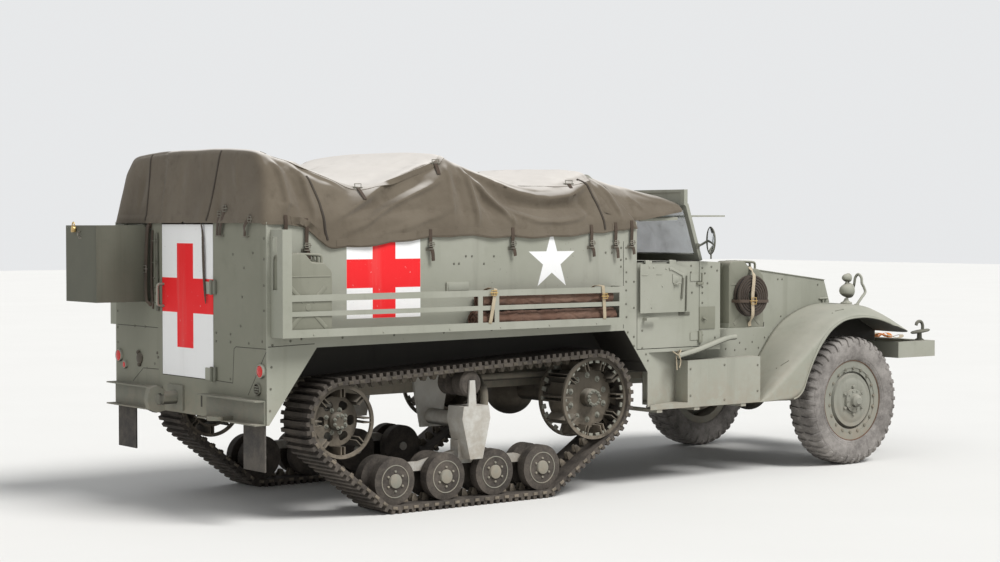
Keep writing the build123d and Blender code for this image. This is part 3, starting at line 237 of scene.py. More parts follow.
floor_mesh = bmesh.new()
bmesh.ops.create_grid(floor_mesh, x_segments=1, y_segments=1, size=FLOOR_HALF)
floor_data = bpy.data.meshes.new("floor")
floor_mesh.to_mesh(floor_data)
floor = bpy.data.objects.new("floor", floor_data)
bpy.context.scene.collection.objects.link(floor)
floor_finish = Finish("studio_floor")
floor_finish.surface(base_color=floor_finish.mix(floor_finish.noise(0.6), FLOOR_COLOUR, FLOOR_PALE),
                     roughness=0.9)
floor_data.materials.append(floor_finish.material)
floor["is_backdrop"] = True

world = bpy.data.worlds.new("studio")
world.use_nodes = True
bpy.context.scene.world = world
tree = world.node_tree
rays = tree.nodes.new("ShaderNodeLightPath")
seen, glossy = tree.nodes.new("ShaderNodeMath"), tree.nodes.new("ShaderNodeMath")
seen.operation = glossy.operation = "ADD"
light, backdrop = tree.nodes["Background"], tree.nodes.new("ShaderNodeBackground")
light.inputs["Color"].default_value = (0.93, 0.96, 1.0, 1)
light.inputs["Strength"].default_value = SURROUND_STRENGTH
backdrop.inputs["Color"].default_value = (0.80, 0.81, 0.82, 1)
either = tree.nodes.new("ShaderNodeMixShader")
for output, socket in (
        (rays.outputs["Is Camera Ray"], glossy.inputs[0]), (rays.outputs["Is Glossy Ray"], glossy.inputs[1]),
        (glossy.outputs[0], seen.inputs[0]), (rays.outputs["Is Transmission Ray"], seen.inputs[1]),
        (seen.outputs[0], either.inputs["Fac"]), (light.outputs[0], either.inputs[1]),
        (backdrop.outputs[0], either.inputs[2]),
        (either.outputs[0], tree.nodes["World Output"].inputs["Surface"])):
    tree.links.new(output, socket)


def sun(name, towards, strength, angle):
    lamp = bpy.data.objects.new(name, bpy.data.lights.new(name, "SUN"))
    lamp.data.energy, lamp.data.angle = strength, math.radians(angle)
    lamp.rotation_mode = "QUATERNION"
    lamp.rotation_quaternion = Vector(towards).to_track_quat("Z", "Y")
    bpy.context.scene.collection.objects.link(lamp)


sun("key", (0.28, -0.72, 1.02), 3.0, 26)
sun("rear_fill", (-1.0, -0.30, 0.75), 0.42, 50)
print("stage: floor, surround and two suns")

# %% [markdown]
# ## Paint and other finishes
#
# Old olive paint is never one colour: it fades in clouds, dust settles on what faces up, rain draws streaks
# down the sides, mud dries near the ground, and small chips show dark metal. Each of those is a mask on the
# same base. Faces that look down are also darkened nearly to black: that is painted shade, not paint.

# %% Olive paint
OLIVE = (0.300, 0.304, 0.247)
OLIVE_FADED = (0.352, 0.352, 0.296)
OLIVE_DARK = (0.215, 0.218, 0.172)
DUST = (0.46, 0.425, 0.36)
MUD = (0.30, 0.25, 0.19)
CHIPPED = (0.10, 0.085, 0.07)
# the near black of painted shade on faces that look down
UNDERSIDE_SHADE = (0.030, 0.027, 0.021)
PAINT_ROUGHNESS = 0.62


def aged_paint(name, base=OLIVE, faded=OLIVE_FADED, dark=OLIVE_DARK, dust=0.5, mud_top=0.95):
    """Painted steel: clouds, streaks, dust, dried mud up to mud_top metres, and painted shade on faces that look down.
    """
    finish = Finish(name)
    clouds = finish.ramp(finish.noise(1.3, 5, 0.6), 0.32, 0.68)
    colour = finish.mix(clouds, base, faded)
    streaks = finish.ramp(finish.noise(9, 5, 0.6, stretch=(1, 1, 0.06)), 0.52, 0.74)
    colour = finish.mix(streaks * 0.35, colour, dark)
    blotches = finish.ramp(finish.noise(5.5, 6, 0.65), 0.55, 0.75)
    colour = finish.mix(blotches * 0.25, colour, dark)
    up = finish.ramp(finish.facing_up(), 0.15, 0.9)
    colour = finish.mix(up * finish.ramp(finish.noise(3.1, 5), 0.25, 0.7) * dust, colour, DUST)
    low = 1.0 - finish.ramp(finish.axis("Z") + finish.noise(3.4, 6, 0.7) * 0.5, mud_top * 0.62, mud_top + 0.25)
    colour = finish.mix(low * finish.ramp(finish.noise(14, 5, 0.7), 0.30, 0.62) * 0.62, colour, MUD)
    chips = finish.ramp(finish.noise(70, 3, 0.5), 0.70, 0.74) * finish.ramp(finish.noise(2.3), 0.5, 0.66)
    colour = finish.mix(chips * 0.8, colour, CHIPPED)
    # painted shade: faces that look down are darkened nearly to black, as if in shadow
    under = finish.ramp(0.0 - finish.facing_up(), 0.30, 0.75)
    finish.colour = finish.mix(under * 0.85, colour, UNDERSIDE_SHADE)
    grain = finish.noise(260, 2, 0.6)
    dents = finish.noise(2.2, 2, 0.4)
    normal = finish.bump(grain, 0.0006, 0.35, under=finish.bump(dents, 0.006, 0.35))
    return finish.surface(base_color=finish.colour, roughness=PAINT_ROUGHNESS + clouds * 0.12 + up * 0.08,
                          normal=normal, specular_ior_level=0.35)


olive_paint = aged_paint("olive_paint")
print("olive paint:", len(olive_paint.tree.nodes), "nodes")

# %% [markdown]
# The hull's sides and the rear door carry painted panels: a white field with a red cross, and on each side a
# white star. They are painted, not stuck on, so they are masks in the same material, cut by the place of each
# point. The masks have worn spots where the olive shows through, and the panels have faint streaks of grime.

# %% Painted panels
WHITE, RED, GRIME = (0.88, 0.88, 0.87), (0.84, 0.014, 0.018), (0.45, 0.43, 0.38)
FIELD_EDGE, STAR_EDGE = 0.0015, 0.0012      # metres over which a painted edge fades, to each side


def step_up(finish, value, place, soft=FIELD_EDGE):
    """0 below a place, 1 above it."""
    return finish.ramp(value, place - soft, place + soft)


def between(finish, value, low, high):
    """1 where value lies between low and high."""
    return step_up(finish, value, low) * (1.0 - step_up(finish, value, high))


def star_mask(finish, across, up, radius):
    """A five-pointed star, point up, about the middle of across and up."""
    inside = None
    for k in range(5):
        angle = math.radians(90 + 72 * k)
        tip, left, right = (Vector((math.cos(a), math.sin(a))) * radius for a in
                            (angle, angle + math.radians(144), angle - math.radians(144)))
        # each point of the star is a triangle between two of the pentagram's long lines
        sides = []
        for p, q in ((tip, left), (right, tip)):
            edge = (q - p).normalized()
            sides.append((across - p.x) * -edge.y + (up - p.y) * edge.x)
        sides.append((across * math.cos(angle) + up * math.sin(angle)) + radius * 0.2)
        first, second, third = (step_up(finish, side, 0, STAR_EDGE) for side in sides)
        spike = first * second * third
        inside = spike if inside is None else finish.node("Math", {"operation": "MAXIMUM"}, {0: inside, 1: spike})
    return inside


def painted(name, white_fields, red_bars, star=None, view="X", behind=None):
    """Olive paint with white fields, red bars and a star; fields are (low, high, low z, high z) in metres.
    What stands out further to the rear than behind, such as a handle, stays olive."""
    finish = aged_paint(name)
    colour = finish.colour
    across, up = finish.axis(view), finish.axis("Z")
    flat = 1.0 if behind is None else finish.ramp(finish.axis("X"), behind - 0.0010, behind - 0.0006)
    wear = flat * (1.0 - finish.ramp(finish.noise(38, 4, 0.7), 0.66, 0.72) * 0.5)
    for fields, paint in ((white_fields, WHITE), (red_bars, RED)):
        for low, high, z_low, z_high in fields:
            mask = between(finish, across, low, high) * between(finish, up, z_low, z_high)
            grime = finish.ramp(finish.noise(8, 5, 0.6, stretch=(1, 1, 0.1)), 0.5, 0.8) * 0.14
            colour = finish.mix(mask * wear, colour, finish.mix(grime, paint, GRIME))
    if star:
        x, z, radius = star
        colour = finish.mix(star_mask(finish, across - x, up - z, radius) * wear, colour, WHITE)
    return finish.surface(base_color=colour)


REAR_PLATE_X = -5124.0      # the rear plate's face, in mm from the front axle
SIDE_WHITE = (station(-4559), station(-4010), 1.231, 1.80)
SIDE_RED = [(station(-4369), station(-4198), 1.231, 1.80), (station(-4559), station(-4010), 1.417, 1.594)]
side_paint = painted("side_paint", [SIDE_WHITE], SIDE_RED, star=(station(-2953), 1.566, 0.203))
DOOR_WHITE = (-0.343, 0.326, 0.84, 1.82)
DOOR_RED = [(-0.087, 0.124, 1.029, 1.689), (-0.343, 0.326, 1.250, 1.469)]
door_paint = painted("rear_door_paint", [DOOR_WHITE], DOOR_RED, view="Y", behind=station(REAR_PLATE_X))
print("painted panels: sides and rear door")

# %% [markdown]
# The rest of the finishes: darker chassis paint, olives darkened as painted shade, worn wheels, rubber, canvas,
# glass, cloth, iron and rope.

# %% Other finishes
OTHER_PAINTS = {
    # base, faded and dark colour, dust, and the height in metres that mud reaches
    "chassis_paint": ((0.15, 0.145, 0.115), (0.21, 0.19, 0.15), (0.09, 0.085, 0.065), 0.8, 1.1),
    "wheel_paint": ((0.215, 0.217, 0.18), (0.27, 0.267, 0.225), (0.13, 0.128, 0.10), 0.4, 0.62),
    "gear_paint": ((0.060, 0.050, 0.036), (0.115, 0.098, 0.074), (0.032, 0.026, 0.018), 0.6, 0.8),
    # the stowage box's olive, darkened as painted shade
    "box_shaded_paint": ((0.090, 0.092, 0.068), (0.125, 0.124, 0.095), (0.06, 0.06, 0.043), 0.3),
    # the same olive darkened as painted shade, for the rear plate, cowl fittings and cans
    "rear_shaded_paint": ((0.198, 0.199, 0.152), (0.240, 0.238, 0.188), (0.138, 0.136, 0.100)),
    # olive darkened as painted shade, for towing gear, lamp rims and hinge blocks on the rear
    "towing_paint": ((0.165, 0.168, 0.132), (0.21, 0.21, 0.17), (0.10, 0.10, 0.075)),
    # dark olive for bolts and small fittings: partly old dirt and rust, partly painted shade round them
    "fitting_paint": ((0.115, 0.115, 0.088), (0.17, 0.168, 0.135), (0.06, 0.055, 0.042), 0.2),
    # near black as painted shade, for the hull's underside and the splash plates in the wheel arches
    "arch_shade_paint": ((0.022, 0.020, 0.016), (0.035, 0.032, 0.026), (0.012, 0.011, 0.009), 0.2, 0.2),
    "bogie_paint": ((0.44, 0.43, 0.39), (0.56, 0.545, 0.50), (0.19, 0.18, 0.15), 0.5),
}
(chassis_paint, wheel_paint, gear_paint, box_shaded_paint, rear_shaded_paint, towing_paint, fitting_paint, arch_shade_paint,
 bogie_paint) = (aged_paint(name, *look) for name, look in OTHER_PAINTS.items())


def rubber(name, base, dusty, amount):
    finish = Finish(name)
    patches = finish.ramp(finish.noise(7, 6, 0.7), 0.30, 0.70)
    specks = finish.ramp(finish.noise(90, 3, 0.6), 0.35, 0.7)
    colour = finish.mix(patches * amount + specks * 0.15, base, dusty)
    normal = finish.bump(finish.noise(120, 4, 0.6), 0.0012, 0.5)
    return finish.surface(base_color=colour, roughness=0.78 + patches * 0.14, normal=normal,
                          specular_ior_level=0.3)


tyre_rubber = rubber("tyre_rubber", (0.13, 0.118, 0.108), (0.36, 0.335, 0.31), 0.75)
band_rubber = rubber("band_rubber", (0.035, 0.030, 0.026), (0.17, 0.145, 0.12), 0.55)
flap_rubber = rubber("flap_rubber", (0.045, 0.042, 0.040), (0.17, 0.15, 0.125), 0.5)


WEAVE, WEBBING_WEAVE, WEAVE_DEPTH = 900.0, 2200, 0.0005


def cloth(name, base, light, dark, weave=WEAVE, bleached_and_sky_lit=None):
    """Woven cloth: a fine weave, soft blotches, and a paler roof face up, part sun bleaching, part painted sky light.
    """
    finish = Finish(name)
    colour = finish.mix(finish.ramp(finish.noise(2.1, 5, 0.6), 0.3, 0.7), base, light)
    colour = finish.mix(finish.ramp(finish.noise(11, 6, 0.7), 0.5, 0.8) * 0.6, colour, dark)
    if bleached_and_sky_lit:
        # the roof's upward faces are paler: partly bleaching by the sun, partly painted light from the sky above
        up = finish.ramp(finish.facing_up(), 0.58, 0.96) * finish.ramp(finish.noise(4, 5, 0.6), 0.0, 0.45)
        up = up * finish.ramp(finish.axis("Z"), 1.93, 2.09)
        colour = finish.mix(up, colour, bleached_and_sky_lit)
    x, y, z = (finish.node("Math", {"operation": "SINE"}, {0: finish.axis(axis) * weave}) for axis in "XYZ")
    normal = finish.bump(x * z + y * z + x * y, WEAVE_DEPTH, 0.35,
                         under=finish.bump(finish.noise(26, 5, 0.6), 0.004, 0.5))
    return finish.surface(base_color=colour, roughness=0.88, normal=normal, specular_ior_level=0.2,
                          sheen_weight=0.15)


canvas_cloth = cloth("canvas_cloth", (0.124, 0.101, 0.073), (0.160, 0.133, 0.098), (0.076, 0.060, 0.041),
                     bleached_and_sky_lit=(0.69, 0.65, 0.60))
seat_cloth = cloth("seat_cloth", (0.20, 0.17, 0.11), (0.25, 0.215, 0.15), (0.12, 0.10, 0.07))
tarpaulin_cloth = cloth("tarpaulin_cloth", (0.125, 0.066, 0.044), (0.20, 0.125, 0.09), (0.035, 0.018, 0.013))
tan_webbing = cloth("tan_webbing", (0.42, 0.35, 0.24), (0.52, 0.44, 0.32), (0.26, 0.20, 0.13), weave=WEBBING_WEAVE)
orange_webbing = cloth("orange_webbing", (0.55, 0.16, 0.03), (0.68, 0.24, 0.06), (0.25, 0.07, 0.02),
                       weave=WEBBING_WEAVE)
webbing_cloth = cloth("webbing_cloth", (0.062, 0.043, 0.031), (0.10, 0.073, 0.053), (0.03, 0.02, 0.015),
                      weave=WEBBING_WEAVE)
rope_cloth = cloth("rope_cloth", (0.035, 0.026, 0.020), (0.075, 0.058, 0.044), (0.010, 0.008, 0.007))


def bare_metal(name, base, worn, metallic, rough):
    finish = Finish(name)
    patches = finish.ramp(finish.noise(18, 5, 0.65), 0.35, 0.65)
    return finish.surface(base_color=finish.mix(patches, base, worn), metallic=metallic,
                          roughness=rough + patches * 0.2, normal=finish.bump(finish.noise(150, 3), 0.0004, 0.5))


steel = bare_metal("worn_steel", (0.30, 0.28, 0.25), (0.16, 0.12, 0.09), 0.8, 0.42)
iron = bare_metal("engine_iron", (0.12, 0.13, 0.11), (0.07, 0.065, 0.055), 0.2, 0.6)
rusty_edge = bare_metal("rusty_edge", (0.17, 0.09, 0.05), (0.10, 0.055, 0.035), 0.0, 0.8)
brass = bare_metal("brass", (0.62, 0.44, 0.18), (0.42, 0.29, 0.12), 0.9, 0.35)
bakelite = bare_metal("bakelite", (0.02, 0.02, 0.02), (0.05, 0.045, 0.04), 0.0, 0.35)


def glass(name, tint, alpha, film_tint=(0.62, 0.60, 0.55)):
    finish = Finish(name)
    film = finish.ramp(finish.noise(9, 5, 0.6), 0.35, 0.75)
    return finish.surface(base_color=finish.mix(film * 0.5, tint, film_tint), roughness=0.06 + film * 0.12,
                          alpha=alpha + film * 0.10)


window_glass = glass("window_glass", (0.62, 0.68, 0.68), 0.42)
red_glass = glass("red_glass", (0.62, 0.012, 0.008), 1.0, film_tint=(0.44, 0.018, 0.012))
lamp_glass = glass("lamp_glass", (0.70, 0.72, 0.70), 0.55)
mirror_glass = Finish("mirror_glass").surface(base_color=(0.8, 0.82, 0.83), metallic=1.0, roughness=0.06)
print("finishes made:", len(bpy.data.materials))

# %% [markdown]
# Each CAD node that stays takes a finish by the material slot that the record gives it, apart from the few
# that are painted differently.

# %% Finishes on the CAD nodes
SLOT_FINISH = {
    "olive_paint": olive_paint, "chassis_paint": chassis_paint, "wheel_paint": wheel_paint,
    "tyre_rubber": tyre_rubber, "band_rubber": band_rubber, "engine_iron": iron, "canvas": canvas_cloth,
    "window_glass": window_glass, "lens_glass": red_glass, "seat_canvas": seat_cloth, "bakelite": bakelite,
    "rope": rope_cloth, "tarpaulin": tarpaulin_cloth, "bare_steel": steel, "flap_rubber": flap_rubber,
}
NODE_FINISH = {
    "hull_side_right": side_paint, "hull_side_left": side_paint, "rear_door": door_paint,
    "stowage_box": box_shaded_paint, "stowage_lid": box_shaded_paint, "bogie_right": bogie_paint, "bogie_left": bogie_paint,
    "hull_rear": rear_shaded_paint, "towing_gear": towing_paint, "hull_floor": arch_shade_paint, "mud_flaps": flap_rubber,
    "sprockets": gear_paint, "idlers": gear_paint, "drive_axle": gear_paint, "front_axle": gear_paint,
}
for part in frame["record"]["subparts"]:
    finish = NODE_FINISH.get(part["node"], SLOT_FINISH[part["material_slot"]])
    mesh = nodes[part["node"]].data
    mesh.materials.clear()
    mesh.materials.append(finish.material)

# %% [markdown]
# ## New pieces
#
# New pieces are drawn with a handful of shapes. sweep() draws a section along a line, and gives bars, straps
# and ropes. lathe() spins a profile, and gives rivets, bolts and hubs. from_points() moves the corners of a
# grid to worked-out places, and gives the cloth. piece() joins shapes into one named mesh on one body.

# %% Shapes
import numpy

X, Y, Z = Vector((1, 0, 0)), Vector((0, 1, 0)), Vector((0, 0, 1))


def from_points(points):
    """A grid moved to points[row][column], in metres."""
    points = numpy.asarray(points, dtype=float)
    rows, columns = points.shape[:2]
    shape = bmesh.new()
    bmesh.ops.create_grid(shape, x_segments=columns - 1, y_segments=rows - 1, size=1)
    shape.verts.ensure_lookup_table()
    for vert, place in zip(shape.verts, points.reshape(-1, 3)):
        vert.co = place
    return shape


def closed(shape):
    """Merges corners that lie on one another and turns the faces outwards."""
    bmesh.ops.remove_doubles(shape, verts=shape.verts, dist=1e-6)
    bmesh.ops.recalc_face_normals(shape, faces=shape.faces)
    return shape


def lathe(profile, centre, axis, segments=32):
    """Spins (radius, distance along) points, in mm, about an axis; the profile runs from axis to axis."""
    shape = bmesh.new()
    axis = Vector(axis).normalized()
    side = axis.orthogonal().normalized()
    line = [shape.verts.new(centre + side * (r / 1000) + axis * (a / 1000)) for r, a in profile]
    edges = [shape.edges.new(pair) for pair in zip(line, line[1:])]
    bmesh.ops.spin(shape, geom=line + edges, cent=centre, axis=axis, angle=math.tau, steps=segments, use_merge=True)
    return closed(shape)


def ring(profile, centre, axis, segments=32):
    """Spins a closed profile that doesn't touch the axis."""
    return lathe([*profile, profile[0]], centre, axis, segments)


def sweep(points, section, out=Z, loop=False):
    """Draws a closed section of (across, outward) points, in mm, along a line. out is one or each point's side."""
    points = [Vector(p) for p in points]
    outs = [Vector(o) for o in out] if hasattr(out[0], "__len__") else [Vector(out)] * len(points)
    rows = []
    for i, point in enumerate(points):
        before = points[i - 1] if i or loop else point
        after = points[(i + 1) % len(points)] if i + 1 < len(points) or loop else point
        along = (after - before).normalized()
        across = along.cross(outs[i])
        across = across.normalized() if across.length > 1e-6 else along.orthogonal().normalized()
        up = across.cross(along)
        rows.append([point + across * (a / 1000) + up * (u / 1000) for a, u in (*section, section[0])])
    if loop:
        rows.append(rows[0])
    else:
        middle = [sum(row[:-1], Vector()) / len(section) for row in (rows[0], rows[-1])]
        rows = [[middle[0]] * len(rows[0]), *rows, [middle[1]] * len(rows[0])]
    return closed(from_points(rows))


def round_section(radius, sides=10):
    return [(radius * math.cos(math.tau * k / sides), radius * math.sin(math.tau * k / sides)) for k in range(sides)]


def flat_section(width, thick, lift=0.0):
    """A strap's section with softened edges, its underside at lift."""
    edge = thick * 0.35
    half = width / 2
    return [(-half, lift), (half, lift), (half, lift + thick - edge), (half - edge, lift + thick),
            (-half + edge, lift + thick), (-half, lift + thick - edge)]


def curve_through(points, count, loop=False):
    """Places on a smooth line through the given points."""
    points = [Vector(p) for p in points]
    found = []
    spans = len(points) if loop else len(points) - 1
    for i in range(count):
        t = i * spans / (count if loop else count - 1)
        k = min(int(t), spans - 1)
        t -= k
        if loop:
            p0, p1, p2, p3 = (points[(k + d) % len(points)] for d in (-1, 0, 1, 2))
        else:
            p0, p1, p2, p3 = (points[min(max(k + d, 0), len(points) - 1)] for d in (-1, 0, 1, 2))
        found.append(0.5 * (2 * p1 + (p2 - p0) * t + (2 * p0 - 5 * p1 + 4 * p2 - p3) * t * t
                            + (3 * p1 - p0 - 3 * p2 + p3) * t ** 3))
    return found


def rectangle(a, b):
    """The corners of a rectangle about 0, 0 with these half sides."""
    return (-a, -b), (a, -b), (a, b), (-a, b)


def plate(outline, out, thick, edge=0.0):
    """A flat outline of corners, thickened along out by thick mm, its edges softened."""
    shape = bmesh.new()
    face = shape.faces.new([shape.verts.new(p) for p in outline])
    grown = bmesh.ops.extrude_face_region(shape, geom=[face])
    moved = [v for v in grown["geom"] if isinstance(v, bmesh.types.BMVert)]
    bmesh.ops.translate(shape, verts=moved, vec=Vector(out).normalized() * (thick / 1000))
    bmesh.ops.recalc_face_normals(shape, faces=shape.faces)
    return soft(shape, edge)


def soft(shape, edge, segments=2):
    if edge:
        bmesh.ops.bevel(shape, geom=shape.edges[:], offset=edge / 1000, segments=segments, profile=0.5,
                        affect="EDGES", material=-1)
    return shape


def slab(x0, x1, y0, y1, z0, z1, edge=1.5):
    """A block between two corners, in mm from the front axle, with softened edges."""
    return plate(spots((x0, y0, z0), (x1, y0, z0), (x1, y1, z0), (x0, y1, z0)), Z, z1 - z0, edge)


def bolt(place, out, across=17, high=9):
    r = across * 0.577
    return lathe([(0, -2), (r, -2), (r, high * 0.72), (r * 0.8, high), (0, high)], place, out, 6)


def rivet(place, out, radius=8, high=4):
    dome = [(radius * math.cos(a), high * math.sin(a)) for a in (0, 0.5, 1.0, 1.3)]
    return lathe([(0, -1), (radius, -1), *dome, (0, high)], place, out, 10)


def nut_and_washer(place, out, across=19):
    r = across * 0.577
    return [lathe([(0, -1), (r * 1.45, -1), (r * 1.45, 2), (0, 2)], place, out, 20), bolt(place, out, across, 12),
            lathe([(0, 0), (r * 0.5, 0), (r * 0.5, 17), (r * 0.35, 19), (0, 19)], place, out, 12)]


def moved(shape, matrix):
    bmesh.ops.transform(shape, matrix=matrix, verts=shape.verts)
    return shape


def copied(shape, matrix):
    return moved(shape.copy(), matrix)


def mirrored(shape):
    """The same shape on the vehicle's other side."""
    other = shape.copy()
    bmesh.ops.scale(other, vec=(1, -1, 1), verts=other.verts)
    bmesh.ops.reverse_faces(other, faces=other.faces)
    return other


def both(shapes):
    return [*shapes, *(mirrored(shape) for shape in shapes)]


def piece(name, shapes, finish, body="hull", crease=35):
    """Joins shapes into one named mesh on one body; edges sharper than crease degrees stay crisp."""
    whole = bmesh.new()
    for shape in shapes:
        part = bpy.data.meshes.new("part")
        shape.to_mesh(part)
        shape.free()
        whole.from_mesh(part)
        bpy.data.meshes.remove(part)
    mesh = bpy.data.meshes.new(name)
    whole.to_mesh(mesh)
    whole.free()
    mesh.materials.append(finish.material)
    mesh.shade_smooth()
    mesh.set_sharp_from_angle(angle=math.radians(crease))
    made = bpy.data.objects.new(name, mesh)
    bpy.context.scene.collection.objects.link(made)
    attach(made, body)
    return made


def piece_each_side(name, shapes, finish, body):
    """A piece on the right body, and the same mirrored on the left one."""
    other_side = [mirrored(shape) for shape in shapes]
    piece(name + "_right", shapes, finish, body + "_right")
    piece(name + "_left", other_side, finish, body + "_left")


def thicken(made, name, thickness):
    """Gives an open sheet its thickness, in metres, inwards."""
    sheet = made.modifiers.new(name, "SOLIDIFY")
    sheet.thickness, sheet.offset = thickness, -1


def in_frame(grid):
    """A grid of points in mm from the front axle, in the frame's metres."""
    grid = grid / 1000
    grid[:, :, 0] += FRONT_AXLE_X
    return grid


print("shapes ready")

# %% [markdown]
# Fasteners and straps must sit on what carries them. onto() finds the place where a line meets the surface of a
# named piece, and which way that surface faces there, so a bolt needs only its place in one view.

# %% Finding surfaces
from mathutils.bvhtree import BVHTree

bpy.context.view_layer.update()
SURFACES = {}


def surface_of(name):
    if name not in SURFACES:
        shape = bmesh.new()
        shape.from_mesh(bpy.data.objects[name].data)
        shape.transform(bpy.data.objects[name].matrix_world)
        SURFACES[name] = BVHTree.FromBMesh(shape)
        shape.free()
    return SURFACES[name]


def onto(name, start, towards, reach=1.5):
    """The first place on a piece, or on several, along a line, and the side it faces; None where it misses."""
    names = (name,) if isinstance(name, str) else name
    hits = [surface_of(n).ray_cast(Vector(start), Vector(towards).normalized(), reach) for n in names]
    hits = [hit for hit in hits if hit[0]]
    if not hits:
        return None
    place, normal, _, _ = min(hits, key=lambda hit: hit[3])
    return place, (normal if normal.dot(Vector(towards)) < 0 else -normal)


def from_right(name, x, z):
    """A place on a piece as seen square from the vehicle's right side, in mm from the front axle."""
    return onto(name, spot(x, -1400, z), Y)


def from_left(name, x, z):
    return onto(name, spot(x, 1400, z), -Y)


def from_rear(name, y, z):
    return onto(name, spot(-5800, y, z), X)


def from_above(name, x, y):
    return onto(name, spot(x, y, 2600), -Z, 3.0)


def fixed_on(name, view, places, make, **sizes):
    """One fastener at each place of a view; places where the line misses are left out."""
    shapes = []
    for place in places:
        found = view(name, *place)
        if found:
            made = make(*found, **sizes)
            shapes += made if isinstance(made, list) else [made]
    return shapes


print("surface finder ready")

# %% [markdown]
# ## The canvas
#
# The real canvas is one sheet laced over three bows. It hangs slack between them, so its roof dips, its
# shoulders swing down in long curves, and folds run from the bows' corners to the straps that hold the hem.
# Here each cross-section is worked out first: hem, eave, hip, shoulder and ridge, from a table that is read
# smoothly between the bows and peaks over each bow like a tent. The rear wall closes the sheet, and the folds
# are pushed out of it along its own normals.

# %% Canvas sections
CANVAS_ROWS = [
    # x, hem height, then half width and height of eave, hip and shoulder, ridge height
    (-5092, 1816, 990, 1836, 902, 2150, 806, 2262, 2288),
    (-5072, 1816, 990, 1836, 902, 2150, 806, 2262, 2288),
    (-4905, 1802, 992, 1836, 905, 2120, 812, 2208, 2236),
    (-4649, 1668, 992, 1836, 905, 2046, 815, 2120, 2168),
    (-4330, 1688, 992, 1836, 908, 1970, 825, 2046, 2106),
    (-4019, 1722, 991, 1836, 905, 2050, 815, 2140, 2190),
    (-3728, 1742, 990, 1836, 900, 2150, 800, 2258, 2286),
    (-3380, 1728, 991, 1836, 905, 2020, 815, 2120, 2185),
    (-2994, 1726, 992, 1836, 908, 1960, 822, 2034, 2104),
    (-2700, 1744, 991, 1836, 904, 2040, 812, 2118, 2160),
    (-2475, 1758, 990, 1836, 900, 2090, 800, 2164, 2192),
    (-2210, 1780, 990, 1836, 905, 1985, 815, 2074, 2108),
]
CAB_ROWS = [
    (-2620, 1890, 964, 1905, 900, 2030, 800, 2120, 2150),
    (-2475, 1884, 968, 1900, 895, 2050, 796, 2142, 2172),
    (-2210, 1830, 980, 1858, 903, 1985, 815, 2066, 2100),
    (-2000, 1856, 970, 1880, 910, 1968, 835, 2020, 2050),
    (-1765, 1893, 950, 1908, 915, 1940, 858, 1962, 1969),
]
CRESTS = (-5072, -3728, -2475)


def sections(rows, xs):
    """The table's numbers at the places xs, smooth between rows and peaked at the bows."""
    table = numpy.array(rows, dtype=float)
    knots, values = table[:, 0], table[:, 1:]
    step = numpy.diff(knots)[:, None]
    rise = numpy.diff(values, axis=0) / step
    into, onward = numpy.zeros_like(values), numpy.zeros_like(values)
    for k, x in enumerate(knots):
        left = rise[k - 1] if k else rise[0]
        right = rise[k] if k < len(rise) else rise[-1]
        if x in CRESTS:
            into[k], onward[k] = 1.25 * left, 1.25 * right
        else:
            same = left * right > 0
            into[k] = onward[k] = numpy.where(same, 2 * left * right / numpy.where(same, left + right, 1), 0)
    found = []
    for x in xs:
        k = int(numpy.clip(numpy.searchsorted(knots, x, side="right") - 1, 0, len(step) - 1))
        h, t = step[k, 0], (x - knots[k]) / step[k, 0]
        found.append((2 * t ** 3 - 3 * t ** 2 + 1) * values[k] + (t ** 3 - 2 * t ** 2 + t) * h * onward[k]
                     + (3 * t ** 2 - 2 * t ** 3) * values[k + 1] + (t ** 3 - t ** 2) * h * into[k + 1])
    return numpy.array(found)


SPANS = (14, 30, 12, 26)    # columns from hem to eave, hip, shoulder and ridge


def half_section(row):
    """(y, z) from the right hem up to the ridge."""
    hem, eave_y, eave_z, hip_y, hip_z, shoulder_y, shoulder_z, ridge = row
    corners = [(-eave_y - 3, hem), (-eave_y, eave_z), (-hip_y, hip_z), (-shoulder_y, shoulder_z), (0, ridge)]
    line = []
    for (y0, z0), (y1, z1), count in zip(corners, corners[1:], SPANS):
        for k in range(count):
            share = k / count
            bulge = 10 * math.sin(math.pi * share) if count == SPANS[-1] else 0
            line.append((y0 + (y1 - y0) * share, z0 + (z1 - z0) * share + bulge))
    return [*line, (0.0, ridge)]


def cloth_rows(rows, xs):
    """Rows of points over the whole width, right hem to left hem, in mm."""
    grid = []
    for x, row in zip(xs, sections(rows, xs)):
        right = half_section(row)
        grid.append([(x, y, z) for y, z in right] + [(x, -y, z) for y, z in reversed(right[:-1])])
    return numpy.array(grid)


def smoothed(grid, axis, reach, times=2, weight=None):
    """Averages each point with its neighbours along rows or columns; the outermost stay."""
    for _ in range(times):
        padded = numpy.pad(grid, [(reach, reach) if a == axis else (0, 0) for a in range(3)], mode="edge")
        total = sum(numpy.take(padded, range(k, k + grid.shape[axis]), axis=axis) for k in range(2 * reach + 1))
        new = total / (2 * reach + 1)
        ends = [0, -1]
        if axis == 0:
            new[ends] = grid[ends]
        else:
            new[:, ends] = grid[:, ends]
        grid = new if weight is None else grid + (new - grid) * weight
    return grid


def normals_of(grid):
    along = numpy.gradient(grid, axis=0)
    across = numpy.gradient(grid, axis=1)
    normal = numpy.cross(across, along)
    return normal / numpy.maximum(numpy.linalg.norm(normal, axis=2, keepdims=True), 1e-9)


print("canvas table:", len(CANVAS_ROWS), "rows and", len(CAB_ROWS), "for the cab")

# %% [markdown]
# A fold in slack cloth is a ridge that fades out at both ends, gentle above and steep below. Each one is a line
# of places in the side view, with a height and a half width. The left side takes the same lines a little moved.

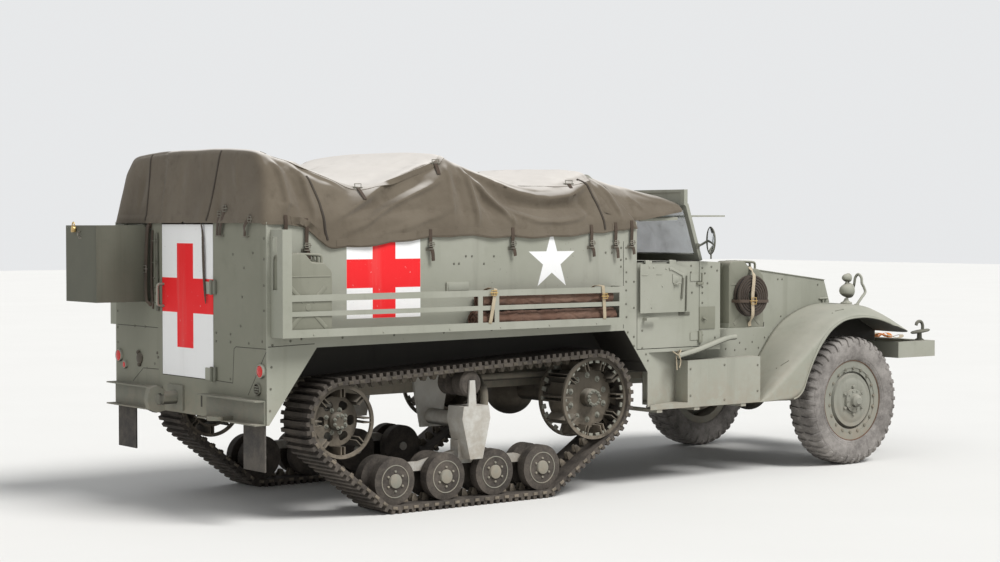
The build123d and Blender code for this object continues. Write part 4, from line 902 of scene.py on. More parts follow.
# %% Canvas folds
FOLDS = [
    # points (x, z) along the fold, height, half width
    ([(-4674, 1822), (-4544, 1877), (-4345, 1970), (-4136, 2058), (-3998, 2116), (-3860, 2175), (-3740, 2235)], 34, 26),
    ([(-4620, 1790), (-4440, 1862), (-4240, 1950), (-4060, 2022), (-3900, 2090)], -26, 30),
    ([(-4644, 1725), (-4411, 1822), (-4187, 1927), (-4013, 1997), (-3900, 2040), (-3770, 2100)], 30, 24),
    ([(-4500, 1735), (-4250, 1830), (-4000, 1905), (-3850, 1965)], -22, 34),
    ([(-4400, 1722), (-4100, 1800), (-3850, 1865), (-3720, 1930)], 16, 26),
    ([(-4700, 1930), (-4560, 1985), (-4400, 2030)], -14, 34),
    ([(-3625, 2200), (-3593, 2090), (-3577, 1962), (-3569, 1770)], 30, 22),
    ([(-3700, 2180), (-3668, 1980), (-3655, 1800)], -18, 30),
    ([(-3745, 2190), (-3740, 2000), (-3760, 1800)], 12, 24),
    ([(-3590, 2120), (-3473, 1995), (-3368, 1899), (-3270, 1815)], 32, 22),
    ([(-3520, 1990), (-3450, 1890), (-3400, 1800)], -24, 30),
    ([(-3600, 2180), (-3493, 2118), (-3372, 2050), (-3174, 1990), (-3041, 1965), (-2931, 1958), (-2786, 1978),
      (-2674, 2022), (-2560, 2090)], 46, 30),
    ([(-3450, 2020), (-3300, 1950), (-3100, 1900), (-2931, 1886), (-2760, 1905), (-2600, 1985)], -34, 40),
    ([(-3330, 1925), (-3236, 1868), (-3070, 1830), (-2919, 1822), (-2731, 1846), (-2600, 1900)], 28, 24),
    ([(-3290, 1890), (-3262, 1720)], 14, 14),
    ([(-2690, 1990), (-2640, 1880), (-2610, 1770)], -16, 24),
    ([(-2560, 2110), (-2480, 1960), (-2440, 1800)], -16, 26),
    ([(-2500, 2120), (-2400, 1990), (-2340, 1830)], 16, 20),
    ([(-5040, 2230), (-4990, 2100), (-4972, 1930), (-5010, 1840)], 26, 24),
    ([(-4975, 2220), (-4905, 2080), (-4870, 1960), (-4875, 1830)], -22, 28),
    ([(-4900, 2200), (-4830, 2060), (-4800, 1900), (-4790, 1800)], 20, 22),
    ([(-4950, 1850), (-4860, 1812), (-4760, 1792)], 16, 16),
    ([(-4960, 2225), (-4700, 2105), (-4480, 2020)], 12, 16),
    ([(-4300, 1990), (-4120, 2066), (-3980, 2126)], 10, 14),
    ([(-3500, 2170), (-3200, 2052), (-3000, 2018), (-2850, 2026)], 12, 16),
]


def fold_field(x, z, folds):
    """How far each place (x, z) is pushed out by the folds, in mm: gentle above a fold, steep below it."""
    total = numpy.zeros_like(x)
    for line, height, half in folds:
        nearest = numpy.full_like(x, 1e9)
        place, below = numpy.zeros_like(x), numpy.zeros_like(x)
        lengths = [math.dist(a, b) for a, b in zip(line, line[1:])]
        run = 0.0
        for (x0, z0), (x1, z1), length in zip(line, line[1:], lengths):
            share = numpy.clip(((x - x0) * (x1 - x0) + (z - z0) * (z1 - z0)) / length ** 2, 0, 1)
            away = numpy.hypot(x - x0 - share * (x1 - x0), z - z0 - share * (z1 - z0))
            closer = away < nearest
            nearest = numpy.where(closer, away, nearest)
            place = numpy.where(closer, (run + share * length) / sum(lengths), place)
            turn = ((x1 - x0) * (z - z0) - (z1 - z0) * (x - x0)) * (1 if x1 >= x0 else -1)
            below = numpy.where(closer, turn < 0, below)
            run += length
        taper = numpy.clip(numpy.minimum(place, 1 - place) * 4 + 0.12, 0, 1)
        width = half * numpy.where((below > 0) & (height > 0), 0.62, 1.35)
        total += height * taper * numpy.exp(-(nearest / width) ** 1.7)
    return total


def wrinkled(grid, amount=1.0, crest_calm=True):
    """Soft unevenness of slack cloth along the surface's normals, calmer over the bows."""
    pushes = numpy.zeros(grid.shape[:2])
    for i, row in enumerate(grid):
        for j, (x, y, z) in enumerate(row):
            p = Vector((x, y, z)) / 1000
            wide = noise.noise(Vector((p.x * 1.6, p.y * 2.4 + 7, p.z * 2.4)))
            mid = noise.noise(Vector((p.x * 5.5, p.y * 6.0, p.z * 6.5 + 3)))
            fine = noise.noise(Vector((p.x * 17, p.y * 13, p.z * 19)))
            pushes[i, j] = (9 * wide + 6.5 * mid + 2.6 * fine) * amount
    if crest_calm:
        calm = numpy.min([numpy.abs(grid[:, :, 0] - crest) for crest in CRESTS], axis=0)
        pushes *= numpy.clip(calm / 160, 0.25, 1)
    return pushes


print("canvas folds:", len(FOLDS))

# %% [markdown]
# The rear wall is the same sheet, folded over the last bow and drawn in to the middle of the rear edge. Its
# corners are rounded by averaging neighbouring rows. The hem is pulled up a little at each strap.

# %% Canvas sheet
REAR_FOOT, REAR_HEAD = (-5140.0, 1816.0), (-5084.0, 2292.0)
FRONT_END, LEAN_FROM, LAST_BOW, WALL_ROWS = -2210, -4900, -5072, 64
CLOTH_THICKNESS = 0.003
STRAPS = [-4998, -4852, -4560, -4240, -3939, -3600, -3288, -2960, -2621, -2410, -2267]
# Y of each fold of the rear wall at its foot and at its head, and how far it stands out
REAR_FOLDS = ((-700, -560, 15), (-420, -470, -12), (-230, -160, 13), (80, 60, -9), (340, 330, 14), (640, 560, -13),
              (820, 700, 14))


def rear_wall_x(z):
    return REAR_FOOT[0] + (REAR_HEAD[0] - REAR_FOOT[0]) * (z - REAR_FOOT[1]) / (REAR_HEAD[1] - REAR_FOOT[1])


xs = numpy.concatenate([numpy.linspace(FRONT_END, LEAN_FROM, 262), numpy.linspace(LEAN_FROM - 10, LAST_BOW, 18)])
WALL = len(xs)
grid = cloth_rows(CANVAS_ROWS, xs)
lean = numpy.clip((LEAN_FROM - grid[:, :, 0]) / (LEAN_FROM - LAST_BOW), 0, 1) ** 1.5
grid[:, :, 0] += lean * (rear_wall_x(grid[:, :, 2]) + 16 - LAST_BOW)
front_slope = numpy.clip((grid[:, :, 0] + 2700) / 490, 0, 1)
grid[:, :, 0] -= front_slope * numpy.clip((grid[:, :, 2] - 1780) / 320, 0, 1) * 175
edge = grid[-1].copy()
wall = []
for k in range(1, WALL_ROWS):
    share = k / WALL_ROWS
    row = edge.copy()
    row[:, 1] = edge[:, 1] * (1 - share)
    row[:, 2] = REAR_FOOT[1] + (edge[:, 2] - REAR_FOOT[1]) * (1 - share)
    row[:, 0] = rear_wall_x(row[:, 2]) - 6 * min(1, share * 8)
    wall.append(row)
grid = numpy.concatenate([grid, numpy.array(wall)])
grid = smoothed(grid, 1, 2)
rounding = numpy.zeros((len(grid), 1, 1))
rounding[WALL - 8:WALL + 8] = 1
grid = smoothed(grid, 0, 2, 2, rounding)
grid = smoothed(grid, 0, 1, 2)
normal = normals_of(grid)
side = grid[:, :, 1] < 0
push = wrinkled(grid)
on_side = numpy.clip((2230 - grid[:, :, 2]) / 60, 0, 1) * numpy.clip(numpy.abs(grid[:, :, 1]) - 700, 0, 100) / 100
on_side[WALL + 2:] *= 0
folds = fold_field(grid[:, :, 0], grid[:, :, 2], FOLDS)
left_folds = fold_field(grid[:, :, 0] - 45, grid[:, :, 2] * 0.97 + 60, FOLDS) * 0.8
push += on_side * numpy.where(side, folds, left_folds)
hem_share = numpy.clip((1900 - grid[:, :, 2]) / 110, 0, 1)
nearest_strap = numpy.min([numpy.abs(grid[:, :, 0] - x) for x in STRAPS], axis=0)
flare = 7 * numpy.clip(nearest_strap / 130, 0, 1) - 2
push = push * (1 - 0.55 * hem_share) + hem_share * flare
y, z = grid[WALL:, :, 1], grid[WALL:, :, 2]
for foot, head, height in REAR_FOLDS:
    line_y = foot + (head - foot) * (z - REAR_FOOT[1]) / 460
    uneven = 0.55 + 0.6 * numpy.sin(z * 0.0135 + foot)
    wide = 42 + 16 * numpy.sin(z * 0.009 + head)
    calm_above = numpy.clip((2260 - z) / 200, 0, 1)
    push[WALL:] += height * uneven * numpy.exp(-(numpy.abs(y - line_y) / wide) ** 1.6) * calm_above
push[WALL + 2:] *= 0.8
# over the stowage box the wall is drawn in, so that the lid can open
push[WALL:] = numpy.where(y > 300, numpy.minimum(push[WALL:], 0) - 10, push[WALL:])
# low down the cloth falls in by 4 mm at most, because the hull's rail lies behind it
push = numpy.clip(push, -4 - 30 * (1 - numpy.clip((1960 - grid[:, :, 2]) / 110, 0, 1)), 46)
grid = grid + normal * push[:, :, None]
sag = numpy.clip(nearest_strap / 150, 0, 1) ** 0.8 * 13
grid[:WALL + 2, :, 2] -= (hem_share * sag)[:WALL + 2]
canvas_shape = from_points(in_frame(grid))
bmesh.ops.remove_doubles(canvas_shape, verts=canvas_shape.verts, dist=0.0008)
canvas = piece("canvas_sheet", [canvas_shape], canvas_cloth, crease=180)
thicken(canvas, "cloth_thickness", CLOTH_THICKNESS)
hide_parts("canvas_top")
print("canvas:", len(canvas.data.vertices), "corners")

# %% [markdown]
# A second, shorter sheet joins the windscreen's header to the first bow. It is made the same way from its own
# table, with three small folds, and is held back under the big sheet where the two overlap.

# %% Cab canvas
xs = numpy.linspace(-1765, -2600, 60)
grid = cloth_rows(CAB_ROWS, xs)
grid = smoothed(grid, 1, 2)
push = wrinkled(grid, 0.7, crest_calm=False) * numpy.clip((-1775 - grid[:, :, 0]) / 80, 0, 1)
push += fold_field(grid[:, :, 0], grid[:, :, 2], [([(-2330, 2060), (-2180, 1960), (-2120, 1905)], 10, 22),
                                                  ([(-2250, 2080), (-2000, 1990), (-1800, 1950)], 7, 18),
                                                  ([(-2230, 1990), (-2050, 1945), (-1830, 1932)], -6, 20)])
push = numpy.minimum(push, numpy.where(grid[:, :, 0] < -2230, -6, 12))
grid = grid + normals_of(grid) * push[:, :, None]
cab_canvas = piece("cab_canvas_sheet", [from_points(in_frame(grid))], canvas_cloth, crease=180)
thicken(cab_canvas, "cloth_thickness", CLOTH_THICKNESS)
print("cab canvas:", len(cab_canvas.data.vertices), "corners")

# %% [markdown]
# The sheet is sewn from panels. A double band of cloth runs along the shoulder where the roof panel laps over
# the side, with buckles for rolling the sides up. Bound edges with dark rope run down the sides and rear. The
# hem is doubled, and webbing straps pull it to loops on the hull.

# %% Canvas seams and bound edges
binding_cloth = cloth("binding_cloth", (0.045, 0.036, 0.028), (0.08, 0.066, 0.05), (0.02, 0.016, 0.012), weave=2400)
SHOULDER = [(-5020, 2240), (-4955, 2225), (-4800, 2161), (-4600, 2091), (-4396, 2030), (-4194, 2065), (-4004, 2124),
            (-3802, 2190), (-3700, 2240), (-3533, 2200), (-3372, 2140), (-3191, 2096), (-2957, 2066), (-2726, 2070),
            (-2552, 2110)]


def lay_on(name, view, places, section, count=60, lift=0.0):
    """Sweeps a section along a piece's surface through places of a view."""
    line = curve_through([Vector((*p, 0)) for p in places], count)
    found = [hit for hit in (view(name, p.x, p.y) for p in line) if hit]
    points = [place + side * (lift / 1000) for place, side in found]
    sides = [side for _, side in found]
    sides = [(sides[max(i - 1, 0)] + s + sides[min(i + 1, len(sides) - 1)]).normalized() for i, s in enumerate(sides)]
    return sweep(points, section, sides)


seams = []
for view in (from_right, from_left):
    seams.append(lay_on("canvas_sheet", view, SHOULDER, flat_section(38, 5, -2), 110))
    for x0, x1 in ((-4960, -4700), (-4640, -3960), (-3960, -3300), (-3300, -2640), (-2440, -2230)):
        line = []
        for k in range(24):
            x = x0 + (x1 - x0) * k / 23
            for z in range(1640, 1900, 4):
                if view("canvas_sheet", x, z):
                    line.append((x, z + 30))
                    break
        seams.append(lay_on("canvas_sheet", view, line, flat_section(44, 3.5, -1.5), 60))
piece("canvas_bands", seams, canvas_cloth, crease=40)

EDGE_ROPES = [
    [(-4792, 2099), (-4771, 2045), (-4743, 1955), (-4729, 1864), (-4722, 1774), (-4705, 1712)],
    [(-2635, 2106), (-2583, 2055), (-2557, 1988), (-2521, 1868), (-2504, 1772)],
    [(-2395, 2070), (-2336, 2003), (-2273, 1915), (-2240, 1850)],
]
REAR_ROPES = [[(-391, 2262), (-372, 2150), (-345, 2000), (-318, 1880), (-302, 1832)],
              [(540, 2262), (532, 2150), (524, 2000), (520, 1832)]]
bindings = []
for line in EDGE_ROPES:
    for view in (from_right, from_left):
        bindings.append(lay_on("canvas_sheet", view, line, flat_section(17, 9, -3), 40))
for line in REAR_ROPES:
    bindings.append(lay_on("canvas_sheet", from_rear, line, flat_section(15, 8, -3), 40))
piece("canvas_bindings", bindings, binding_cloth, crease=40)
print("canvas seams:", len(seams), "bands and", len(bindings), "bound edges")

# %% [markdown]
# Each hem strap is a webbing tongue sewn to the sheet, passed down through a wire loop on the hull and back up
# under itself. A flat wire buckle holds it. Four more buckles sit on the shoulder band of each side.

# %% Hem straps and buckles
HEM_STRAPS = [(-4998, 1790), (-4852, 1770), (-3939, 1702), (-3288, 1712), (-2621, 1728), (-2410, 1744), (-2267, 1756)]
LOOP_Z = 1652.0
LOOP_WIDE, LOOP_DEEP, LOOP_WIRE = 34, 24, 3.2
STRAP = flat_section(25, 3)
SHOULDER_BUCKLES = [(-4390, 2030), (-3795, 2192), (-3275, 2118), (-2720, 2070)]
# (y, z) of each rear strap's upper end, its bend at the hem, and its loop
REAR_STRAPS = [((-520, 1924), (-486, 1826), (-462, 1738)), ((-835, 1860), (-782, 1800), (-761, 1735)),
               ((-448, 1892), (-436, 1815), (-428, 1738))]


def wire_loop(at, out, up):
    """A bent wire loop standing off a surface."""
    half, deep = up.cross(out).normalized() * (LOOP_WIDE / 2000), out * (LOOP_DEEP / 1000)
    return sweep(curve_through([at - half, at - half + deep, at + half + deep, at + half], 14),
                 round_section(LOOP_WIRE, 8), up)


def buckle(at, out, up, wide=44, high=38):
    """A flat wire frame with a bar across, lying against cloth."""
    across = up.cross(out).normalized()
    lifted = at + out * 0.004
    frame = [lifted + across * (a / 1000) + up * (b / 1000) for a, b in rectangle(wide / 2, high / 2)]
    ends = [lifted - across * (wide * 0.75 / 1000), lifted + across * (wide * 0.75 / 1000)]
    return [sweep(frame, flat_section(7, 4), out, loop=True), sweep(ends, round_section(3.5, 8), out)]


straps, metal = [], []
for hand_view, y_sign, hull_name in ((from_right, -1, "hull_side_right"), (from_left, 1, "hull_side_left")):
    out = Y * y_sign
    for number, (x, hem_z) in enumerate(HEM_STRAPS):
        top = hand_view("canvas_sheet", x, hem_z + 74)
        foot = hand_view(hull_name, x, LOOP_Z if hem_z < 1780 else 1700)
        if not (top and foot):
            continue
        foot_z = foot[0].z
        cloth_at = hand_view("canvas_sheet", x, hem_z + 22)
        line = [top[0] + top[1] * 0.002]
        if cloth_at:
            line.append(cloth_at[0] + cloth_at[1] * 0.004)
        line += [Vector((top[0].x, foot[0].y + 0.012 * y_sign, foot_z + 0.035)),
                 Vector((top[0].x, foot[0].y + 0.020 * y_sign, foot_z))]
        straps.append(sweep(curve_through(line, 20), STRAP, out))
        tail = [line[-1], line[-1] + Vector((0.006, 0.006 * y_sign, -0.02)),
                line[-1] + Vector((0.012, 0.004 * y_sign, -0.05 - 0.012 * (number % 3)))]
        straps.append(sweep(curve_through(tail, 12), STRAP, out))
        metal.append(wire_loop(foot[0], out, Z))
        metal.append(plate([foot[0] + Vector((a, 0, b)) / 1000 for a, b in rectangle(30, 10)], out, 4, 1))
        metal += buckle(line[-1] + Vector((0, 0, 0.03)), out, Z, 34, 26)
    for x, z in SHOULDER_BUCKLES:
        found = hand_view("canvas_sheet", x, z)
        if found:
            metal += buckle(found[0] + found[1] * 0.004, found[1], Z, 46, 44)
            down = hand_view("canvas_sheet", x - 12, z - 70)
            if down:
                straps.append(sweep([found[0] + found[1] * 0.007, (found[0] + down[0]) / 2 + found[1] * 0.008,
                                     down[0] + down[1] * 0.005], flat_section(24, 3), found[1]))
for high, hem, low in REAR_STRAPS:
    top, foot = from_rear("canvas_sheet", *high), from_rear("hull_rear", *low)
    if top and foot:
        middle = Vector((min(top[0].x, foot[0].x) - 0.012, hem[0] / 1000, hem[1] / 1000))
        line = [top[0] - X * 0.003, middle, foot[0] - X * 0.018 + Z * 0.03, foot[0] - X * 0.020]
        straps.append(sweep(curve_through(line, 20), STRAP, -X))
        metal.append(wire_loop(foot[0], -X, Z))
        metal += buckle(top[0] - X * 0.005 - Z * 0.02, -X, Z, 36, 34)
piece("canvas_straps", straps, webbing_cloth, crease=40)
piece("strap_fittings", metal, chassis_paint, crease=40)
print("hem straps:", len(straps), "straps,", len(metal), "metal parts")

# %% [markdown]
# ## Front tyres and wheels
#
# The front tyres have a military bar tread: thick bars from the middle of the crown over the shoulder, in two
# staggered rows, long and short by turns down the sidewall. One bar is a small grid bent over the carcass. It
# is copied round the tyre, so the bars are even as in a mould. The piece takes the place of the plain CAD tyre.

# %% Tyres
# (radius, outward from the tyre's middle) from the bead to the middle of the crown
CARCASS = [(255.5, 84), (285, 85.5), (300.6, 86), (301.5, 93), (306, 99), (313, 102.5), (322, 106), (345, 112),
           (372, 115.5), (402, 116), (424, 113.5), (444, 108), (458, 98), (464.5, 84), (466.5, 60), (467, 30),
           (467, 0)]
AXLE_Z, WHEEL_Y = 480.0, 819.0
TREAD_BARS, BAR_HIGH, LONG_BAR, SHORT_BAR = 44, 12.8, 0.50, 0.41


def carcass_at(run):
    """(radius, out) at a share of the way from the crown's middle to the bead."""
    line = CARCASS[::-1]
    lengths = [math.dist(a, b) for a, b in zip(line, line[1:])]
    run = min(max(run, 0), 1) * sum(lengths)
    for (a, b), length in zip(zip(line, line[1:]), lengths):
        if run <= length:
            return tuple(p + (q - p) * run / length for p, q in zip(a, b))
        run -= length
    return line[-1]


def tread_bar(side, reach):
    """One bar of the tread from the crown's middle down the shoulder, standing about 13 mm high."""
    rows = []
    for i in range(13):
        share = i / 12
        run = 0.008 + (reach - 0.008) * share
        radius, out = carcass_at(run)
        ahead, behind = carcass_at(run + 0.02), carcass_at(run - 0.02)
        tangent = Vector((ahead[0] - behind[0], ahead[1] - behind[1])).normalized()
        height = BAR_HIGH if share < 0.55 else BAR_HIGH - 6.5 * (share - 0.55) / 0.45
        half = 0.039 - 0.008 * share
        row = []
        for j, across in enumerate((-1.0, -0.86, -0.72, -0.25, 0.25, 0.72, 0.86, 1.0)):
            lift = height if 2 <= j <= 5 else (height * 0.86 if j in (1, 6) else -3)
            if i in (0, 12):
                lift = -3
            elif i in (1, 11):
                lift *= 0.86
            r, y = radius + tangent.y * lift, (out - tangent.x * lift) * side
            angle = across * half + 0.045 * (1 - share) * side
            row.append((r * math.cos(angle), y, r * math.sin(angle)))
        rows.append(row)
    shape = from_points(numpy.array(rows) / 1000)
    rim = [edge for edge in shape.edges if edge.is_boundary]
    bmesh.ops.holes_fill(shape, edges=rim, sides=0)
    return closed(shape)


def tyre_shapes():
    profile = [(r, -out) for r, out in CARCASS] + [(r, out) for r, out in CARCASS[-2::-1]]
    shapes = [ring(profile, Vector(), Y, 120)]
    for side in (-1, 1):
        bars = [tread_bar(side, LONG_BAR), tread_bar(side, SHORT_BAR)]
        for k in range(TREAD_BARS):
            turn = math.tau * (k + (0.5 if side > 0 else 0)) / TREAD_BARS
            shapes.append(copied(bars[k % 2], Matrix.Rotation(turn, 4, "Y")))
        for bar in bars:
            bar.free()
        for radius, out in ((426, 112.5), (330, 108.0), (316, 103.5)):
            shapes.append(ring([(radius - 3, side * (out - 2)), (radius, side * (out + 2)),
                                (radius + 3, side * (out - 2))], Vector(), Y, 96))
    return shapes


for hand, sign in (("right", -1), ("left", 1)):
    at_wheel = Matrix.Translation(spot(0, sign * WHEEL_Y, AXLE_Z))
    made = piece("tyre_tread_" + hand, [moved(shape, at_wheel) for shape in tyre_shapes()], tyre_rubber,
                 "wheel_" + hand, 30)
    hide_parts("tyre_" + hand)
print("tyres:", len(made.data.polygons), "faces each")

# %% [markdown]
# The wheel's face carries a ring of small bolts outside the dish, a lip round the flange, hub nuts, the
# flange bolts of the driving hub and a valve.

# %% Wheel fastenings
WHEEL_RINGS = [
    # closed profiles of (radius, outward), and the steps round
    ([(206, 60), (213, 59), (213, 63), (208, 65)], 72),
    ([(216, 74), (218, 83), (266, 88), (270, 80), (240, 70)], 96),
    ([(58, 70), (58, 99), (128, 101), (148, 100), (157, 95), (174, 91), (190, 86), (203, 74), (203, 60)], 96),
]


def on_circle(centre, radius, y, count, first=0):
    """count places evenly round a circle in X and Z, y mm to the left of centre, the first at first degrees."""
    angles = [math.radians(360 / count * k + first) for k in range(count)]
    return [centre + Vector((radius * math.cos(a), y, radius * math.sin(a))) / 1000 for a in angles]


for hand, sign in (("right", -1), ("left", 1)):
    out = Y * sign
    hub = spot(0, sign * WHEEL_Y, AXLE_Z)

    def on_wheel(radius, angle):
        start = spot(radius * math.cos(angle), sign * 1200, AXLE_Z + radius * math.sin(angle))
        return onto("wheel_" + hand, start, -out)

    shapes = [ring(profile, hub, out, steps) for profile, steps in WHEEL_RINGS]
    shapes += [bolt(place, out, across=24, high=14) for place in on_circle(hub, 105, sign * 100, 6, 30)]
    rim_bolts = [bolt(place, out, across=22, high=11) for place in on_circle(hub, 241, sign * 84.5, 18, 6)]
    piece("wheel_rim_bolts_" + hand, rim_bolts, fitting_paint, "wheel_" + hand)
    rust = ring([(295.5, 89), (301.5, 89), (303, 92.5), (300, 96), (296, 94)], hub, out, 112)
    piece("wheel_flange_lip_" + hand, [rust], rusty_edge, "wheel_" + hand)
    for k in range(10):
        shapes.append(bolt(*on_wheel(72, math.tau * k / 10), across=12, high=7))
    shapes.append(ring([(47, 122), (56, 122), (56, 126), (47, 128)], hub, out, 40))
    foot = on_wheel(228, math.radians(113))[0]
    shapes.append(sweep([foot, foot + out * 0.03, foot + out * 0.045 + (foot - hub).normalized() * 0.015],
                        round_section(4.5, 8), X))
    piece("wheel_fastenings_" + hand, shapes, wheel_paint, "wheel_" + hand)
print("wheel fastenings: 2 sets")

# %% [markdown]
# ## Tracks
#
# Each band is moulded rubber over steel cables. Inside it, steel guide teeth run between the twin wheels, and
# the ends of steel cross bars show along both edges. They are set out along the band's own line, which is
# worked out from the same circles that the band runs round.

# %% Track line
TRACK_Y, BAND, SEAT_GAP, GROUND_Z = 810.5, 26.0, 0.3, 200.3
BOGIE_XS = [-3580.0 + 392.0 * k for k in (-1.5, -0.5, 0.5, 1.5)]
SPROCKET, IDLER, ROLLER = (-2549.0, 636.0, 277.0), (-4563.0, 597.0, 226.0), (-3587.0, 785.0, 84.0)
BELT = [(BOGIE_XS[0], GROUND_Z, 150.0), (BOGIE_XS[-1], GROUND_Z, 150.0), SPROCKET, ROLLER, IDLER]


def belt_line(offset):
    """Closely set (x, z) places along the belt, at an offset outside its circles."""
    angles = []
    for (x1, z1, r1), (x2, z2, r2) in zip(BELT, BELT[1:] + BELT[:1]):
        angles.append(math.atan2(z2 - z1, x2 - x1) - math.acos((r1 - r2) / math.hypot(x2 - x1, z2 - z1)))
    line = []
    for i, (x, z, r) in enumerate(BELT):
        start, end = angles[i - 1], angles[i]
        while end < start:
            end += math.tau
        steps = max(2, round((end - start) * 40))
        line += [(x + (r + offset) * math.cos(start + (end - start) * k / steps),
                  z + (r + offset) * math.sin(start + (end - start) * k / steps)) for k in range(steps + 1)]
    return line + line[:1]


def along_belt(offset, count):
    """count evenly set places on the belt: (x, z) and the outward side there."""
    line = belt_line(offset)
    lengths = [math.dist(a, b) for a, b in zip(line, line[1:])]
    found, k, run = [], 0, 0.0
    for i in range(count):
        target = sum(lengths) * i / count
        while run + lengths[k] < target:
            run += lengths[k]
            k += 1
        (x1, z1), (x2, z2) = line[k], line[k + 1]
        share = (target - run) / lengths[k]
        across = Vector(((z2 - z1) / lengths[k], 0, -(x2 - x1) / lengths[k]))
        found.append(((x1 + (x2 - x1) * share, z1 + (z2 - z1) * share), across))
    return found


inner_line = belt_line(0)
print("belt:", round(sum(math.dist(a, b) for a, b in zip(inner_line, inner_line[1:])) / 1000, 2), "m round")

# %% [markdown]
# One guide is drawn once, with its foot flat and its tips up, and is copied to each place with the band's own
# direction there as its axes. The ends of the cross bars are small plates on both edges of each band.

# %% Track guides and cross bar ends
GUIDES, BAR_END_Y = 74, 152.5
BAR_END = rectangle(0.017, 0.009)      # metres


def guide():
    """A pair of leaning steel cheeks on one foot; the foot lies in X and Y, the tips point up Z."""
    shapes = []
    for side in (-1, 1):
        corners = [Vector((x, side * (17 - 8 * h / 46), h)) / 1000 for x, h in
                   ((-26, 0), (26, 0), (20, 22), (10, 46), (-10, 46), (-20, 22))]
        shapes.append(plate(corners, Y * side, 9, 2))
    shapes.append(plate([Vector((x, y, 0)) / 1000 for x, y in rectangle(20, 24)], Z, 5, 1))
    return shapes


bright, one_guide = [], guide()
for (x, z), outward in along_belt(SEAT_GAP, GUIDES):
    turned = Matrix((outward.cross(Y), Y, -outward)).transposed().to_4x4()
    for sign in (-1, 1):
        place = Matrix.Translation(spot(x, sign * TRACK_Y, z)) @ turned
        bright += [copied(shape, place) for shape in one_guide]
for shape in one_guide:
    shape.free()
piece("track_guides", bright, gear_paint)

bar_ends = []
for (x, z), outward in along_belt(BAND / 2, GUIDES):
    tangent = outward.cross(Y)
    for sign, edge in ((-1, 1), (-1, -1), (1, -1), (1, 1)):
        centre = spot(x, sign * (TRACK_Y + edge * BAR_END_Y), z)
        corners = [centre + tangent * a + outward * b for a, b in BAR_END]
        bar_ends.append(plate(corners, Y * edge * sign, 7, 1.5))
piece("track_bar_ends", bar_ends, gear_paint)
print("tracks:", GUIDES, "guides and cross bars a band")

# %% [markdown]
# The sprocket drives the band by lumps on its rings. Its dished plate is held by large bolts, and its drum hub by
# a ring of twelve. The idler and the bogie wheels have bolted caps.

# %% Sprocket, idler and bogie fastenings
SPROCKET_TEETH = 26
BOLT_CIRCLES = (("sprockets", SPROCKET, ((150, 10, 24), (46, 12, 14))), ("idlers", IDLER, ((74, 8, 18), (40, 8, 13))))
bolts = []
for hand, sign in (("right", -1), ("left", 1)):
    out = Y * sign

    def on_gear(name, x, z, radius, angle):
        start = spot(x + radius * math.cos(angle), sign * 1250, z + radius * math.sin(angle))
        return onto(name, start, -Y * sign)

    for name, (x, z, _), rings in BOLT_CIRCLES:
        for radius, count, across in rings:
            for k in range(count):
                found = on_gear(name, x, z, radius, math.tau * (k + 0.5) / count)
                if found:
                    bolts += nut_and_washer(*found, across=across)
    for x in BOGIE_XS:
        for k in range(6):
            found = on_gear("bogie_wheels_" + hand, x, GROUND_Z, 62, math.tau * (k + 0.5) / 6)
            if found:
                bolts.append(bolt(*found, across=15, high=8))
        hub = on_gear("bogie_wheels_" + hand, x, GROUND_Z, 40, 0.3)
        if hub:
            centre = Vector((station(x), hub[0].y, GROUND_Z / 1000))
            bolts.append(lathe([(0, -20), (47, -20), (47, 4), (42, 12), (20, 18), (0, 18)], centre, out, 28))
            bolts.append(ring([(98, -2), (104, -2), (104, 3), (98, 3)], centre, out, 48))
    x, z, radius = SPROCKET
    for k in range(SPROCKET_TEETH):
        angle = math.tau * k / SPROCKET_TEETH
        radial = Vector((math.cos(angle), 0, math.sin(angle)))
        tangent = Vector((-math.sin(angle), 0, math.cos(angle)))
        for y in (-118, 112):
            place = spot(x, sign * (TRACK_Y + y), z)
            corners = [place + radial * (a / 1000) + tangent * (b / 1000) for a, b in
                       ((radius - 40, -17), (radius - 5, -14), (radius - 5, 14), (radius - 40, 17))]
            bolts.append(plate(corners, out, 14, 2.5))
piece("running_gear_fastenings", bolts, wheel_paint)
print("running gear fastenings: both sides")

# %% [markdown]
# ## Front fenders and lamps
#
# The fenders are pressed from one sheet: a full crown over the tyre, rounded down into a flat web, with the free
# edge rolled round a wire. The CAD fender has the right outline but a sharp shoulder, so its place is taken by
# a sheet that is drawn through the same lines with the shoulder rounded.

# %% Fenders
FENDER_LINES = [
    # x and z at the outer shoulder, amid and inside; then the free edge below
    ((-1033, 530), (-960, 530), (-870, 530), (-1033, 528)),
    ((-880, 636), (-830, 664), (-770, 676), (-860, 528)),
    ((-720, 742), (-690, 800), (-672, 821), (-690, 528)),
    ((-545, 868), (-575, 902), (-605, 912), (-600, 577)),
    ((-400, 974), (-470, 990), (-544, 982), (-548, 682)),
    ((-270, 1072), (-330, 1088), (-416, 1061), (-474, 826)),
    ((-140, 1118), (-160, 1160), (-230, 1130), (-362, 975)),
    ((0, 1136), (20, 1192), (0, 1182), (-180, 1078)),
    ((150, 1124), (216, 1184), (230, 1196), (30, 1103)),
    ((290, 1090), (338, 1148), (350, 1164), (200, 1086)),
    ((395, 1052), (462, 1098), (480, 1112), (318, 1055)),
    ((428, 1036), (587, 1040), (610, 1048), (370, 1037)),
    ((440, 1028), (735, 968), (770, 965), (389, 1031)),
]
HOOD_REAR_HALF, HOOD_FRONT_HALF, FIREWALL_X, HOOD_FRONT_X = 700.0, 430.0, -1300.0, 200.0
FENDER_THICKNESS = 0.005    # metres
LIP_Y, SHOULDER_Y, CROWN_Y, INNER_Y = 978, 975, 800, 400    # mm from the middle, of the four lines


